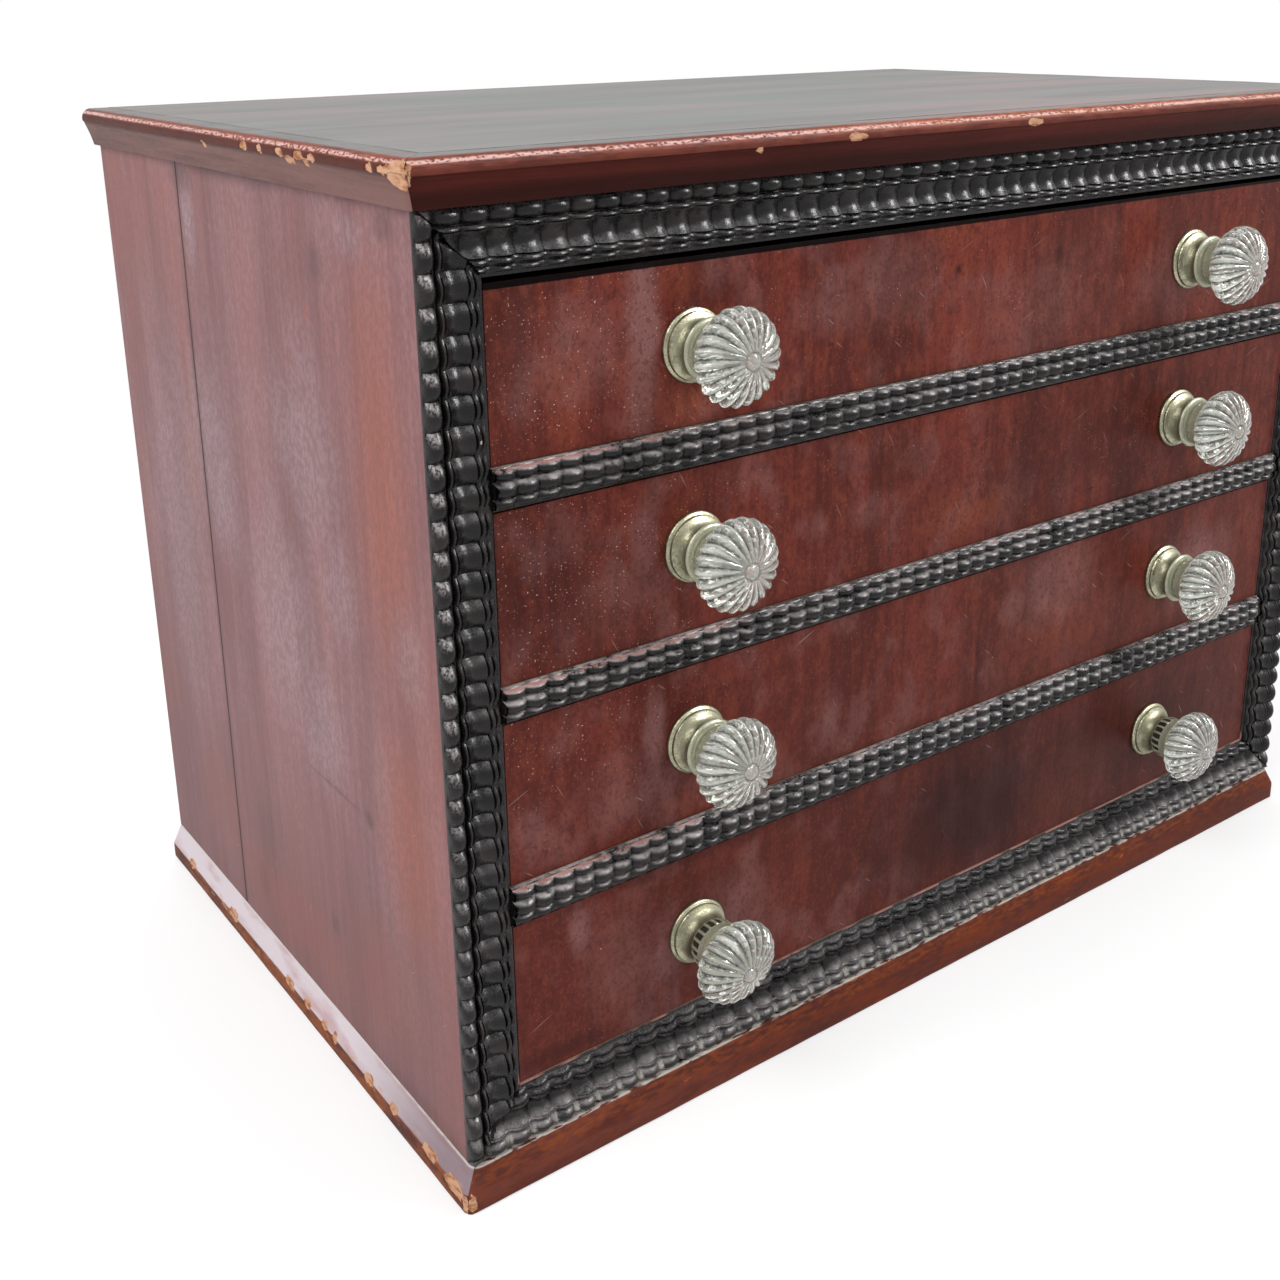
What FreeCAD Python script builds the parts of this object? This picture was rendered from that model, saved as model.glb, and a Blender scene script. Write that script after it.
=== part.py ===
import FreeCAD, Part
import math
import os
import re

import Sketcher

# Tabletop chest of four drawers with black ripple mouldings, in millimetres.
# X runs across the chest, Y from its front to its back and Z up. The origin is on the floor, in the middle of the
# chest's width and in the plane of the case's front edge, so the plinth's front piece stands on it.

SIZES = [
    # Case
    ("case_width", 487.0, "outside width across the two sides"),
    ("case_depth", 296.0, "front edge of the sides to the back"),
    ("board_thick", 22.7, "sides, carcass top and carcass bottom"),
    ("side_lap", 9.0, "wood of the side left outside the carcass top and bottom"),
    ("housing_depth", 7.0, "depth of the grooves that hold the dividers"),
    ("joint_depth_high", 200.0, "front board of a side, its width at the upper end"),
    ("joint_depth_low", 207.0, "front board of a side, its width at the lower end"),
    ("opening_1", 61.2, "height of the top drawer's opening"),
    ("opening_2", 62.0, "height of the second opening"),
    ("opening_3", 62.7, "height of the third opening"),
    ("opening_4", 65.7, "height of the bottom opening"),
    ("divider_thick_1", 14.6, "divider under drawer 1"),
    ("divider_thick_2", 13.0, "divider under drawer 2"),
    ("divider_thick_3", 15.4, "divider under drawer 3"),
    ("back_thick", 8.0, "back panel"),
    ("back_lap", 9.0, "how far the back panel lies in the sides' rebates"),
    # Top
    ("top_thick", 15.8, "top board and its edge moulding"),
    ("top_front_overhang", 10.5, "nose of the moulding beyond the case's front"),
    ("top_side_overhang", 6.4, "nose of the moulding beyond the sides"),
    ("edge_width", 12.0, "width of the edge moulding"),
    ("nose_round", 4.2, "round of the nose"),
    ("nose_step", 0.6, "step under the nose"),
    ("cove_height", 10.2, "height of the cove under the nose"),
    ("cove_reach", 3.9, "how far the cove runs in, nose to foot"),
    ("cove_round", 24.0, "radius of the cove"),
    # Plinth
    ("plinth_height", 17.0, "height of the base frame"),
    ("plinth_width", 40.0, "width of the base frame's pieces"),
    ("plinth_front_proud", 7.0, "base frame beyond the case's front"),
    ("plinth_side_proud", 4.6, "base frame beyond the sides"),
    ("plinth_slope_drop", 9.0, "height of the sloped upper edge"),
    ("plinth_front_slope", 2.4, "reach of the slope at the front"),
    ("screw_shank", 4.0, "diameter of the screws under the plinth"),
    ("screw_head", 8.0, "diameter of their heads"),
    ("screw_head_high", 3.0, "height of their countersunk heads"),
    ("screw_length", 34.0, "length of the screws"),
    ("screw_edge", 60.0, "screws of the side pieces, from the front and from the back"),
    ("screw_place", 120.0, "screws of the front and back pieces, from the middle"),
    # Ripple mouldings
    ("ripple_pitch", 9.69, "one ripple of the wide frame"),
    ("rail_pitch", 8.31, "one ripple of the strips over the dividers"),
    ("ripple_deep", 1.2, "depth of the ripples"),
    ("frame_crest", 5.5, "height of the frame's outer bead"),
    ("frame_edge", 3.6, "thickness of the frame's outer edge"),
    ("frame_inner_edge", 2.2, "thickness of the frame's inner edge"),
    ("bead_width", 5.8, "outer bead of the frame, across"),
    ("bead_shoulder", 0.6, "drop of the outer bead towards its sides"),
    ("quirk_width", 1.2, "groove between the outer bead and the fillet"),
    ("quirk_deep", 1.9, "that groove below the outer bead's crest"),
    ("fillet_width", 1.0, "thin fillet beside the groove"),
    ("fillet_drop", 1.0, "fillet below the outer bead's crest"),
    ("hollow_drop", 3.4, "middle of the hollow below the outer bead's crest"),
    ("pair_width", 6.7, "pair of fine beads at the inner edge"),
    ("pair_groove", 0.4, "groove between the hollow and the pair"),
    ("pair_drop", 1.5, "pair of fine beads below the outer bead's crest"),
    ("rail_crest", 4.9, "height of the strips over the dividers"),
    ("rail_edge", 2.1, "thickness of the strips' two edges"),
    ("rail_upper_drop", 0.8, "upper bead of the strips below the middle one"),
    ("rail_quirk", 1.9, "grooves of the strips below the middle bead's crest"),
    ("rail_shoulder", 0.4, "drop of the middle bead towards its sides"),
    ("rail_lower_drop", 1.6, "lower bead of the strips below the middle one"),
    # Drawers
    ("side_gap", 0.6, "play between a drawer and the case at each side"),
    ("run_gap", 0.3, "drawer above what it runs on"),
    ("top_gap_1", 2.0, "shadow gap above drawer 1"),
    ("top_gap", 0.9, "gap above the other drawers"),
    ("drawer_back_gap", 7.0, "behind a shut drawer, to the back panel"),
    ("front_thick", 16.0, "drawer front"),
    ("drawer_side_thick", 8.0, "drawer sides"),
    ("drawer_back_thick", 8.0, "drawer back"),
    ("side_lower", 1.5, "drawer sides below the top of the front"),
    ("lap_length", 10.0, "length of the dovetails"),
    ("tail_tip", 12.5, "height of a dovetail at its tip"),
    ("tail_root", 9.5, "height of a dovetail at its root"),
    ("bottom_thick", 5.0, "drawer bottom"),
    ("bottom_up", 5.5, "underside of the bottom above the drawer's lower edge"),
    ("groove_deep", 3.5, "depth of the grooves for the bottom"),
    ("stop_height", 4.0, "drawer stops"),
    ("stop_width", 22.0, "drawer stops, across"),
    ("stop_depth", 26.0, "drawer stops, front to back"),
    ("stop_gap", 0.3, "drawer front before its stops when shut"),
    ("stop_place", 90.0, "drawer stops, from the middle"),
    # Knobs
    ("knob_inset", 104.0, "knob axis from the case's side"),
    ("knob_rise_1", -1.0, "knob axes above the middle of the top drawer's front"),
    ("knob_rise_2", 1.5, "the same on the second drawer"),
    ("knob_rise_3", 1.1, "the same on the third drawer"),
    ("knob_rise_4", -1.3, "the same on the bottom drawer"),
    ("rose_radius", 13.2, "brass rose"),
    ("rim_thick", 1.6, "rim of the rose"),
    ("ring_radius", 12.2, "second ring of the rose"),
    ("ring_place", 3.2, "front of that ring from the drawer front"),
    ("neck_radius", 8.6, "waist of the neck"),
    ("neck_place", 8.0, "waist of the neck from the drawer front"),
    ("neck_round", 9.0, "radius of the hollow from the ring to the waist"),
    ("collar_radius", 11.4, "collar that carries the glass"),
    ("collar_place", 9.6, "back of the collar from the drawer front"),
    ("collar_thick", 1.5, "collar"),
    ("ferrule_radius", 9.6, "ferrule between collar and glass"),
    ("rose_height", 17.2, "rose and ferrule, from the drawer front"),
    ("head_radius", 17.4, "glass head, to the crown of its lobes"),
    ("head_length", 17.6, "glass head, along the axis"),
    ("bolt_radius", 2.0, "knob bolt"),
    ("bolt_play", 0.2, "play round the bolt"),
    ("bolt_in_glass", 9.0, "depth of the bolt in the glass"),
    ("bolt_end_play", 0.4, "hole in the glass beyond the bolt's end"),
    ("bolt_tail", 7.0, "bolt behind the drawer front"),
    ("nut_radius", 4.4, "nut, to its corners"),
    ("nut_thick", 3.5, "nut"),
    # Nails of the back
    ("nail_radius", 1.0, "nail shank"),
    ("nail_length", 28.0, "nail"),
    ("nail_head_radius", 2.6, "nail head"),
    ("nail_head_thick", 0.8, "nail head"),
    ("nail_edge", 5.0, "nails from the panel's edge"),
]

# Counts, and the form of a glass head: its lobes, its rings and the angles at which its outline starts and ends
NAIL_ROWS = 5
TAILS = 3
LOBES = 22
HEAD_RINGS = 6
HEAD_BACK = 32.0
HEAD_FRONT = 164.0
VALLEY_SHARE = 0.93
SWIRL_TURN = 8.0

UP = FreeCAD.Vector(0, 0, 1)
OUT = FreeCAD.Vector(0, -1, 0)

ALIASES = [alias for alias, number, meaning in SIZES]

doc = FreeCAD.newDocument("chest_of_drawers")
sheet = doc.addObject("Spreadsheet::Sheet", "Sizes")
for row, (alias, number, meaning) in enumerate(SIZES, start=1):
    sheet.set("A%d" % row, meaning)
    sheet.set("B%d" % row, str(number))
    sheet.setAlias("B%d" % row, alias)
doc.recompute()


def bound(formula):
    """A formula on the sheet's names as an expression that an object can hold."""
    def to_cell(match):
        word = match.group(0)
        return "Sizes." + word if word in ALIASES else word
    return re.sub(r"[a-z_][a-z_0-9]*", to_cell, str(formula))


def size(formula):
    """The number that a formula on the sheet's names gives now."""
    return float(sheet.evalExpression(bound(formula)))


def place(item, x=0, y=0, z=0):
    """Bind an object's place to three formulas."""
    for axis, formula in zip("xyz", (x, y, z)):
        item.setExpression("Placement.Base." + axis, bound(formula))


def board(label, corner, lengths):
    """A rectangular board from its low corner and its lengths along X, Y and Z, all formulas."""
    box = doc.addObject("Part::Box", label)
    for name, formula in zip(("Length", "Width", "Height"), lengths):
        box.setExpression(name, bound(formula))
    place(box, *corner)
    return box


def rod(label, radius, length, foot, along):
    """A round rod from the middle of its foot; along is the direction it runs in."""
    pin = doc.addObject("Part::Cylinder", label)
    pin.setExpression("Radius", bound(radius))
    pin.setExpression("Height", bound(length))
    pin.Placement = FreeCAD.Placement(FreeCAD.Vector(), FreeCAD.Rotation(UP, along))
    place(pin, *foot)
    return pin


def join(label, pieces):
    """One solid fused from the pieces."""
    fused = doc.addObject("Part::MultiFuse", label)
    fused.Shapes = pieces
    return fused


def group(label, pieces):
    """Separate solids kept together under one name."""
    kept = doc.addObject("Part::Compound", label)
    kept.Links = pieces
    return kept


def cut(label, blank, cutters):
    """The blank with everything that the cutters take up removed."""
    piece = doc.addObject("Part::Cut", label)
    piece.Base = blank
    piece.Tool = cutters[0] if len(cutters) == 1 else join(label + "_cutters", cutters)
    return piece


def mirrored(label, piece):
    """The same piece on the other side of the chest."""
    copy = doc.addObject("Part::Mirroring", label)
    copy.Source = piece
    copy.Normal = FreeCAD.Vector(1, 0, 0)
    return copy


def arc_middle(start, end, radius):
    """The middle of an arc between two points; a positive radius bulges to the right of the way to the end."""
    chord = end - start
    half = chord.Length / 2
    side = FreeCAD.Vector(chord.y, -chord.x, 0).normalize()
    rise = abs(radius) - math.sqrt(radius ** 2 - half ** 2)
    return (start + end) / 2 + side * math.copysign(rise, radius)


def draw(sketch, corners):
    """Draw a closed outline; a corner is two formulas, and a third one is the radius of the arc that leaves it."""
    points = [FreeCAD.Vector(size(corner[0]), size(corner[1]), 0) for corner in corners]
    ends = []
    for index, corner in enumerate(corners):
        start, end = points[index], points[(index + 1) % len(points)]
        if len(corner) == 2:
            edge = sketch.addGeometry(Part.LineSegment(start, end))
            first, last = 1, 2
        else:
            edge = sketch.addGeometry(Part.Arc(start, arc_middle(start, end, size(corner[2])), end))
            forward = sketch.getPoint(edge, 1).distanceToPoint(start) < 1e-6
            first, last = (1, 2) if forward else (2, 1)
            held = sketch.addConstraint(Sketcher.Constraint("Radius", edge, abs(size(corner[2]))))
            sketch.setExpression("Constraints[%d]" % held, bound("abs(%s)" % corner[2]))
        ends.append((edge, first, last))
    for index, corner in enumerate(corners):
        edge, first, last = ends[index]
        following, following_first, _ = ends[(index + 1) % len(ends)]
        sketch.addConstraint(Sketcher.Constraint("Coincident", edge, last, following, following_first))
        for kind, number, formula in zip(("DistanceX", "DistanceY"), points[index], corner):
            held = sketch.addConstraint(Sketcher.Constraint(kind, -1, 1, edge, first, number))
            sketch.setExpression("Constraints[%d]" % held, bound(formula))


def sketched_body(label, plane, corners):
    """A body with one closed sketch on one of its own origin planes."""
    body = doc.addObject("PartDesign::Body", label)
    origin_plane = [feature for feature in body.Origin.OriginFeatures if feature.Role == plane][0]
    sketch = body.newObject("Sketcher::SketchObject", label + "_outline")
    sketch.AttachmentSupport = [(origin_plane, "")]
    sketch.MapMode = "FlatFace"
    draw(sketch, corners)
    return body, sketch


def moulded(label, plane, corners, length):
    """A moulding: an outline on an origin plane, drawn out evenly to both sides of that plane."""
    body, sketch = sketched_body(label, plane, corners)
    pad = body.newObject("PartDesign::Pad", label + "_length")
    pad.Profile = sketch
    pad.setExpression("Length", bound(length))
    pad.Midplane = True
    body.Tip = pad
    return body


def turned(label, corners):
    """A turned piece: its outline, in the XY plane right of the Y axis, spun about that axis."""
    body, sketch = sketched_body(label, "XY_Plane", corners)
    spin = body.newObject("PartDesign::Revolution", label + "_spin")
    spin.Profile = sketch
    spin.ReferenceAxis = (sketch, ["V_Axis"])
    spin.Angle = 360
    body.Tip = spin
    return body


def mitre_block(label, corner, width, turn):
    """A tall block with one edge on the corner (x, y), turned so that its sides run along the mitre."""
    block = doc.addObject("Part::Box", label)
    for name in ("Length", "Width"):
        block.setExpression(name, bound("2 * " + width))
    block.setExpression("Height", bound("2 * (%s)" % case_high))
    block.Placement = FreeCAD.Placement(FreeCAD.Vector(), FreeCAD.Rotation(UP, turn))
    place(block, corner[0], corner[1], "0")
    return block


# Levels, from the floor up
case_low = "plinth_height"
level = "plinth_height + board_thick"
opening_low = {}
divider_low = {}
for number in (4, 3, 2, 1):
    opening_low[number] = level
    level = "%s + opening_%d" % (level, number)
    if number > 1:
        divider_low[number - 1] = level
        level = "%s + divider_thick_%d" % (level, number - 1)
carcass_top_low = level
case_high = level + " + board_thick"
case_height = "(%s) - plinth_height" % case_high

# Widths that pieces share
inner_width = "(case_width - 2 * board_thick)"
divider_half = "(case_width / 2 - board_thick + housing_depth)"
carcass_half = "(case_width / 2 - side_lap)"
back_half = "(case_width / 2 - board_thick + back_lap)"
board_depth = "(case_depth - back_thick)"
drawer_length = "(case_depth - back_thick - drawer_back_gap)"

# Carcass boards and dividers
carcass_bottom_blank = board("carcass_bottom_blank", ("-" + carcass_half, 0, case_low),
                             ("2 * " + carcass_half, board_depth, "board_thick"))
carcass_top_blank = board("carcass_top_blank", ("-" + carcass_half, 0, carcass_top_low),
                          ("2 * " + carcass_half, board_depth, "board_thick"))
divider_blanks = {}
for number in (1, 2, 3):
    divider_blanks[number] = board("divider_%d_blank" % number, ("-" + divider_half, 0, divider_low[number]),
                                   ("2 * " + divider_half, board_depth, "divider_thick_%d" % number))

# Back panel and its nails, driven into the sides and into the carcass top and bottom
back_blank = board("back_panel_blank", ("-" + back_half, board_depth, case_low),
                   ("2 * " + back_half, "back_thick", case_height))


def nail(label, x, z):
    """One nail through the back panel, its head let into the panel's face."""
    shank = rod(label + "_shank", "nail_radius", "nail_length - nail_head_thick",
                (x, "case_depth - nail_head_thick", z), OUT)
    head = rod(label + "_head", "nail_head_radius", "nail_head_thick", (x, "case_depth", z), OUT)
    return join(label, [shank, head])


nails = []
nail_low = "plinth_height + board_thick / 2"
for row in range(NAIL_ROWS):
    nail_level = "%s + (%s - board_thick) * %d / %d" % (nail_low, case_height, row, NAIL_ROWS - 1)
    for side, sign in (("left", "-"), ("right", "")):
        nails.append(nail("nail_%s_%d" % (side, row + 1), "%s(%s - nail_edge)" % (sign, back_half), nail_level))
for row, nail_level in enumerate((nail_low, carcass_top_low + " + board_thick / 2")):
    nails.append(nail("nail_middle_%d" % (row + 1), "0", nail_level))
back_nails = group("back_nails", nails)
back_panel = cut("back_panel", back_blank, nails)

# Screws up through the plinth into the carcass bottom, their heads flush with the plinth's underside
def screw(label, x, y):
    """One countersunk screw, head on the floor side."""
    head = doc.addObject("Part::Cone", label + "_head")
    head.setExpression("Radius1", bound("screw_head / 2"))
    head.setExpression("Radius2", bound("screw_shank / 2"))
    head.setExpression("Height", bound("screw_head_high"))
    place(head, x, y, "0")
    length = "screw_length - screw_head_high"
    shank = rod(label + "_shank", "screw_shank / 2", length, (x, y, "screw_head_high"), UP)
    return join(label, [head, shank])


plinth_side_line = "(case_width / 2 + plinth_side_proud - plinth_width / 2)"
screws = []
for side, sign in (("left", "-"), ("right", "")):
    for row, y in (("front", "screw_edge"), ("back", "case_depth - screw_edge")):
        screws.append(screw("screw_%s_%s" % (side, row), sign + plinth_side_line, y))
        screws.append(screw("screw_%s_%s_inner" % (row, side), sign + "screw_place",
                            y.replace("screw_edge", "(plinth_width / 2 - plinth_front_proud)")))
plinth_screws = group("plinth_screws", screws)

carcass_bottom = cut("carcass_bottom", carcass_bottom_blank, screws + nails)
carcass_top = cut("carcass_top", carcass_top_blank, nails)
dividers = {number: cut("divider_%d" % number, blank, nails) for number, blank in divider_blanks.items()}

# Sides, each glued up from two boards along a slightly slanted joint
side_cutters = join("side_cutters", [carcass_top_blank, carcass_bottom_blank, back_blank] + nails
                    + list(divider_blanks.values()))


def side_board(label, corners):
    """A board of the left side with its housings and rebates."""
    blank = moulded(label + "_blank", "YZ_Plane", corners, "board_thick")
    place(blank, "-(case_width - board_thick) / 2", 0, 0)
    piece = doc.addObject("Part::Cut", label)
    piece.Base = blank
    piece.Tool = side_cutters
    return piece


side_left_front = side_board("side_left_front", [
    ("0", case_low), ("joint_depth_low", case_low), ("joint_depth_high", case_high), ("0", case_high)])
side_left_back = side_board("side_left_back", [
    ("joint_depth_low", case_low), ("case_depth", case_low), ("case_depth", case_high),
    ("joint_depth_high", case_high)])
side_right_front = mirrored("side_right_front", side_left_front)
side_right_back = mirrored("side_right_back", side_left_back)

# Top board with its mitred edge mouldings
top_front_line = "(-top_front_overhang)"
top_side_line = "(-case_width / 2 - top_side_overhang)"
top_board = board("top_board", (top_side_line + " + edge_width", top_front_line + " + edge_width", case_high),
                  ("case_width + 2 * top_side_overhang - 2 * edge_width",
                   "case_depth + top_front_overhang - edge_width", "top_thick"))


def edge_outline(line):
    """Section of the edge moulding: nose above, cove below; line is its outermost place."""
    top = "(%s) + top_thick" % case_high
    return [(line + " + edge_width", case_high), (line + " + edge_width", top),
            (line + " + nose_round", top, "nose_round"), (line, top + " - nose_round"),
            (line, "(%s) + cove_height" % case_high),
            (line + " + nose_step", "(%s) + cove_height" % case_high, "-cove_round"),
            (line + " + cove_reach", case_high)]


def mitred_frame(name, outline_front, outline_left, front_line, side_line, width, front_cutters, left_cutters):
    """Front, left and right pieces of a mitred edge, from the sections of the front and the left one."""
    front_blank = moulded(name + "_front_blank", "YZ_Plane", outline_front, "-2 * " + side_line)
    ends = [mitre_block(name + "_front_mitre_left", (side_line, front_line), width, 45),
            mitre_block(name + "_front_mitre_right", ("-" + side_line, front_line), width, 45)]
    front = cut(name + "_front", front_blank, ends + front_cutters)
    left_blank = moulded(name + "_left_blank", "XZ_Plane", outline_left, "case_depth - " + front_line)
    place(left_blank, 0, "(case_depth + %s) / 2" % front_line, 0)
    end = mitre_block(name + "_left_mitre", (side_line, front_line), width, -45)
    left = cut(name + "_left", left_blank, [end] + left_cutters)
    return front, left, mirrored(name + "_right", left)


top_mouldings = mitred_frame("top_moulding", edge_outline(top_front_line), edge_outline(top_side_line),
                             top_front_line, top_side_line, "edge_width", [], [])

# Plinth: a base frame with a sloped upper edge
plinth_front_line = "(-plinth_front_proud)"
plinth_side_outer = "(-case_width / 2 - plinth_side_proud)"


def plinth_outline(line, slope):
    """Section of the plinth; line is its outermost place and slope the reach of its sloped edge."""
    return [(line + " + plinth_width", "0"), (line + " + plinth_width", "plinth_height"),
            (line + " + " + slope, "plinth_height"), (line, "plinth_height - plinth_slope_drop"), (line, "0")]


plinth_pieces = mitred_frame("plinth", plinth_outline(plinth_front_line, "plinth_front_slope"),
                             plinth_outline(plinth_side_outer, "plinth_side_proud"),
                             plinth_front_line, plinth_side_outer, "plinth_width", screws, screws)
plinth_back_blank = board("plinth_back_blank", (plinth_side_outer + " + plinth_width",
                                                "case_depth - plinth_width", "0"),
                          ("-2 * %s - 2 * plinth_width" % plinth_side_outer, "plinth_width", "plinth_height"))
plinth_back = cut("plinth_back", plinth_back_blank, screws)


# Ripple mouldings: a section that waves in and out along the strip
def frame_section(width):
    """Points (across from the outer edge, proud height) of the wide frame's section."""
    crest, shoulder, fillet = size("frame_crest"), size("bead_shoulder"), size("fillet_drop")
    bead = size("bead_width")
    hollow_start = bead + size("quirk_width") + size("fillet_width")
    hollow_end = width - size("pair_width")
    pair_start = hollow_end + size("pair_groove")
    return [(0, size("frame_edge")), (0.22 * bead, crest - shoulder), (0.6 * bead, crest),
            (0.9 * bead, crest - shoulder), (bead + size("quirk_width") / 2, crest - size("quirk_deep")),
            (bead + size("quirk_width"), crest - fillet),
            (hollow_start, crest - fillet), ((hollow_start + hollow_end) / 2, crest - size("hollow_drop")),
            (hollow_end, crest - size("pair_drop") - shoulder), (pair_start, crest - size("pair_drop") - fillet),
            ((2 * pair_start + width) / 3, crest - size("pair_drop")),
            ((pair_start + 2 * width) / 3, crest - size("pair_drop")), (width, size("frame_inner_edge"))]


def rail_section(width):
    """Points of the narrow strips' section: two beads and a thin lower one, as shares of the strip's width."""
    crest, quirk, shoulder = size("rail_crest"), size("rail_quirk"), size("rail_shoulder")
    upper = crest - size("rail_upper_drop")
    lower = crest - size("rail_lower_drop")
    return [(0, size("rail_edge")), (0.08 * width, upper), (0.22 * width, upper), (0.29 * width, crest - quirk),
            (0.37 * width, crest - shoulder), (0.50 * width, crest), (0.63 * width, crest - shoulder),
            (0.70 * width, crest - quirk), (0.78 * width, lower), (0.92 * width, lower),
            (width, size("rail_edge"))]


def ripple_strip(label, length, width, section, pitch, mitre):
    """A rippled strip along X, its outer edge at Z 0 and its back at Y 0; mitre is how far each end runs in."""
    deep = size("ripple_deep")
    steps = math.floor(length / pitch - 0.1)
    half_pitch = pitch / 2
    rings = [(step * half_pitch, deep if step % 2 else 0.0) for step in range(-steps, steps + 1)]
    rings = [(-length / 2, deep / 2)] + rings + [(length / 2, deep / 2)]
    wires = []
    for x, sunk in rings:
        points = [FreeCAD.Vector(x, sunk - high, -across) for across, high in section]
        points += [FreeCAD.Vector(x, 0, -width), FreeCAD.Vector(x, 0, 0)]
        wires.append(Part.makePolygon(points + points[:1]))
    shape = Part.makeLoft(wires, True, True)
    if mitre:
        for end in (-length / 2, length / 2):
            inward = math.copysign(mitre, -end)
            outline = [(end, 0), (end + inward, -width), (end - inward, -width), (end - inward, 0)]
            corners = [FreeCAD.Vector(x, width, z) for x, z in outline]
            wedge = Part.Face(Part.makePolygon(corners + corners[:1])).extrude(FreeCAD.Vector(0, -2 * width, 0))
            shape = shape.cut(wedge)
    strip = doc.addObject("Part::Feature", label)
    strip.Shape = shape.Solids[0]
    return strip


BACKWARDS = FreeCAD.Vector(0, 1, 0)
ripple_frames = {}
frame_width = size("board_thick")
for name, length, turn, middle in (
        ("top", "case_width", 0, ("0", case_high)),
        ("bottom", "case_width", 180, ("0", case_low)),
        ("left", case_height, -90, ("-case_width / 2", "plinth_height + (%s) / 2" % case_height)),
        ("right", case_height, 90, ("case_width / 2", "plinth_height + (%s) / 2" % case_height))):
    strip = ripple_strip("ripple_frame_" + name, size(length), frame_width, frame_section(frame_width),
                         size("ripple_pitch"), frame_width)
    strip.Placement = FreeCAD.Placement(FreeCAD.Vector(), FreeCAD.Rotation(BACKWARDS, turn))
    place(strip, middle[0], 0, middle[1])
    ripple_frames[name] = strip
ripple_rails = {}
for number in (1, 2, 3):
    width = size("divider_thick_%d" % number)
    strip = ripple_strip("ripple_rail_%d" % number, size(inner_width), width, rail_section(width),
                         size("rail_pitch"), 0)
    place(strip, 0, 0, opening_low[number])
    ripple_rails[number] = strip

# Drawer stops, glued on what each drawer runs on
stops = []
for number in (1, 2, 3, 4):
    for side, middle in (("left", "-stop_place"), ("right", "stop_place")):
        stops.append(board("stop_%d_%s" % (number, side),
                           (middle + " - stop_width / 2", "front_thick + stop_gap", opening_low[number]),
                           ("stop_width", "stop_depth", "stop_height")))
drawer_stops = group("drawer_stops", stops)


# Knobs
def rose_outline():
    """Half section of a brass rose with its neck, collar and ferrule; Y is 0 on the drawer front."""
    bore = "bolt_radius + bolt_play"
    return [(bore, "0"), ("rose_radius", "0"), ("rose_radius", "-rim_thick"),
            ("ring_radius", "-rim_thick"), ("ring_radius", "-ring_place"),
            ("neck_radius", "-neck_place", "-neck_round"), ("collar_radius", "-collar_place"),
            ("collar_radius", "-collar_place - collar_thick"), ("ferrule_radius", "-collar_place - collar_thick"),
            ("ferrule_radius", "-rose_height"), (bore, "-rose_height")]


def glass_head():
    """A swirled glass head on the Y axis: rings of lobes, each ring turned a little further, with a bolt hole."""
    radius, length, seat = size("head_radius"), size("head_length"), size("rose_height")
    back_lean, front_lean = math.radians(HEAD_BACK), math.radians(HEAD_FRONT)
    rings = []
    for ring in range(HEAD_RINGS + 1):
        lean = back_lean + (front_lean - back_lean) * ring / HEAD_RINGS
        along = (math.cos(back_lean) - math.cos(lean)) / (math.cos(back_lean) - math.cos(front_lean))
        y = -seat - along * length
        crown = radius * math.sin(lean)
        turn = math.radians(SWIRL_TURN) * ring / HEAD_RINGS

        def point(lobe, reach):
            angle = turn + 2 * math.pi * lobe / LOBES
            return FreeCAD.Vector(reach * math.cos(angle), y, reach * math.sin(angle))
        valley = crown * VALLEY_SHARE
        arcs = [Part.Arc(point(lobe, valley), point(lobe + 0.5, crown), point(lobe + 1, valley)).toShape()
                for lobe in range(LOBES)]
        rings.append(Part.Wire(arcs))
    lobed = Part.makeLoft(rings, True, True)
    depth = size("bolt_in_glass") + size("bolt_end_play")
    hole = Part.makeCylinder(size("bolt_radius + bolt_play"), depth, FreeCAD.Vector(0, -seat, 0), OUT)
    return lobed.cut(hole).Solids[0]


head_shape = glass_head()
knob_line = "(case_width / 2 - knob_inset)"


def knob_fixing(label, x, z):
    """A bolt through rose and drawer front, and the nut behind it."""
    bolt = rod(label + "_bolt", "bolt_radius", "rose_height + bolt_in_glass + front_thick + bolt_tail",
               (x, "front_thick + bolt_tail", z), OUT)
    blank = doc.addObject("Part::Prism", label + "_nut_blank")
    blank.Polygon = 6
    blank.setExpression("Circumradius", bound("nut_radius"))
    blank.setExpression("Height", bound("nut_thick"))
    blank.Placement = FreeCAD.Placement(FreeCAD.Vector(), FreeCAD.Rotation(UP, OUT))
    place(blank, x, "front_thick + nut_thick", z)
    return [bolt, cut(label + "_nut", blank, [bolt])]


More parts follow.
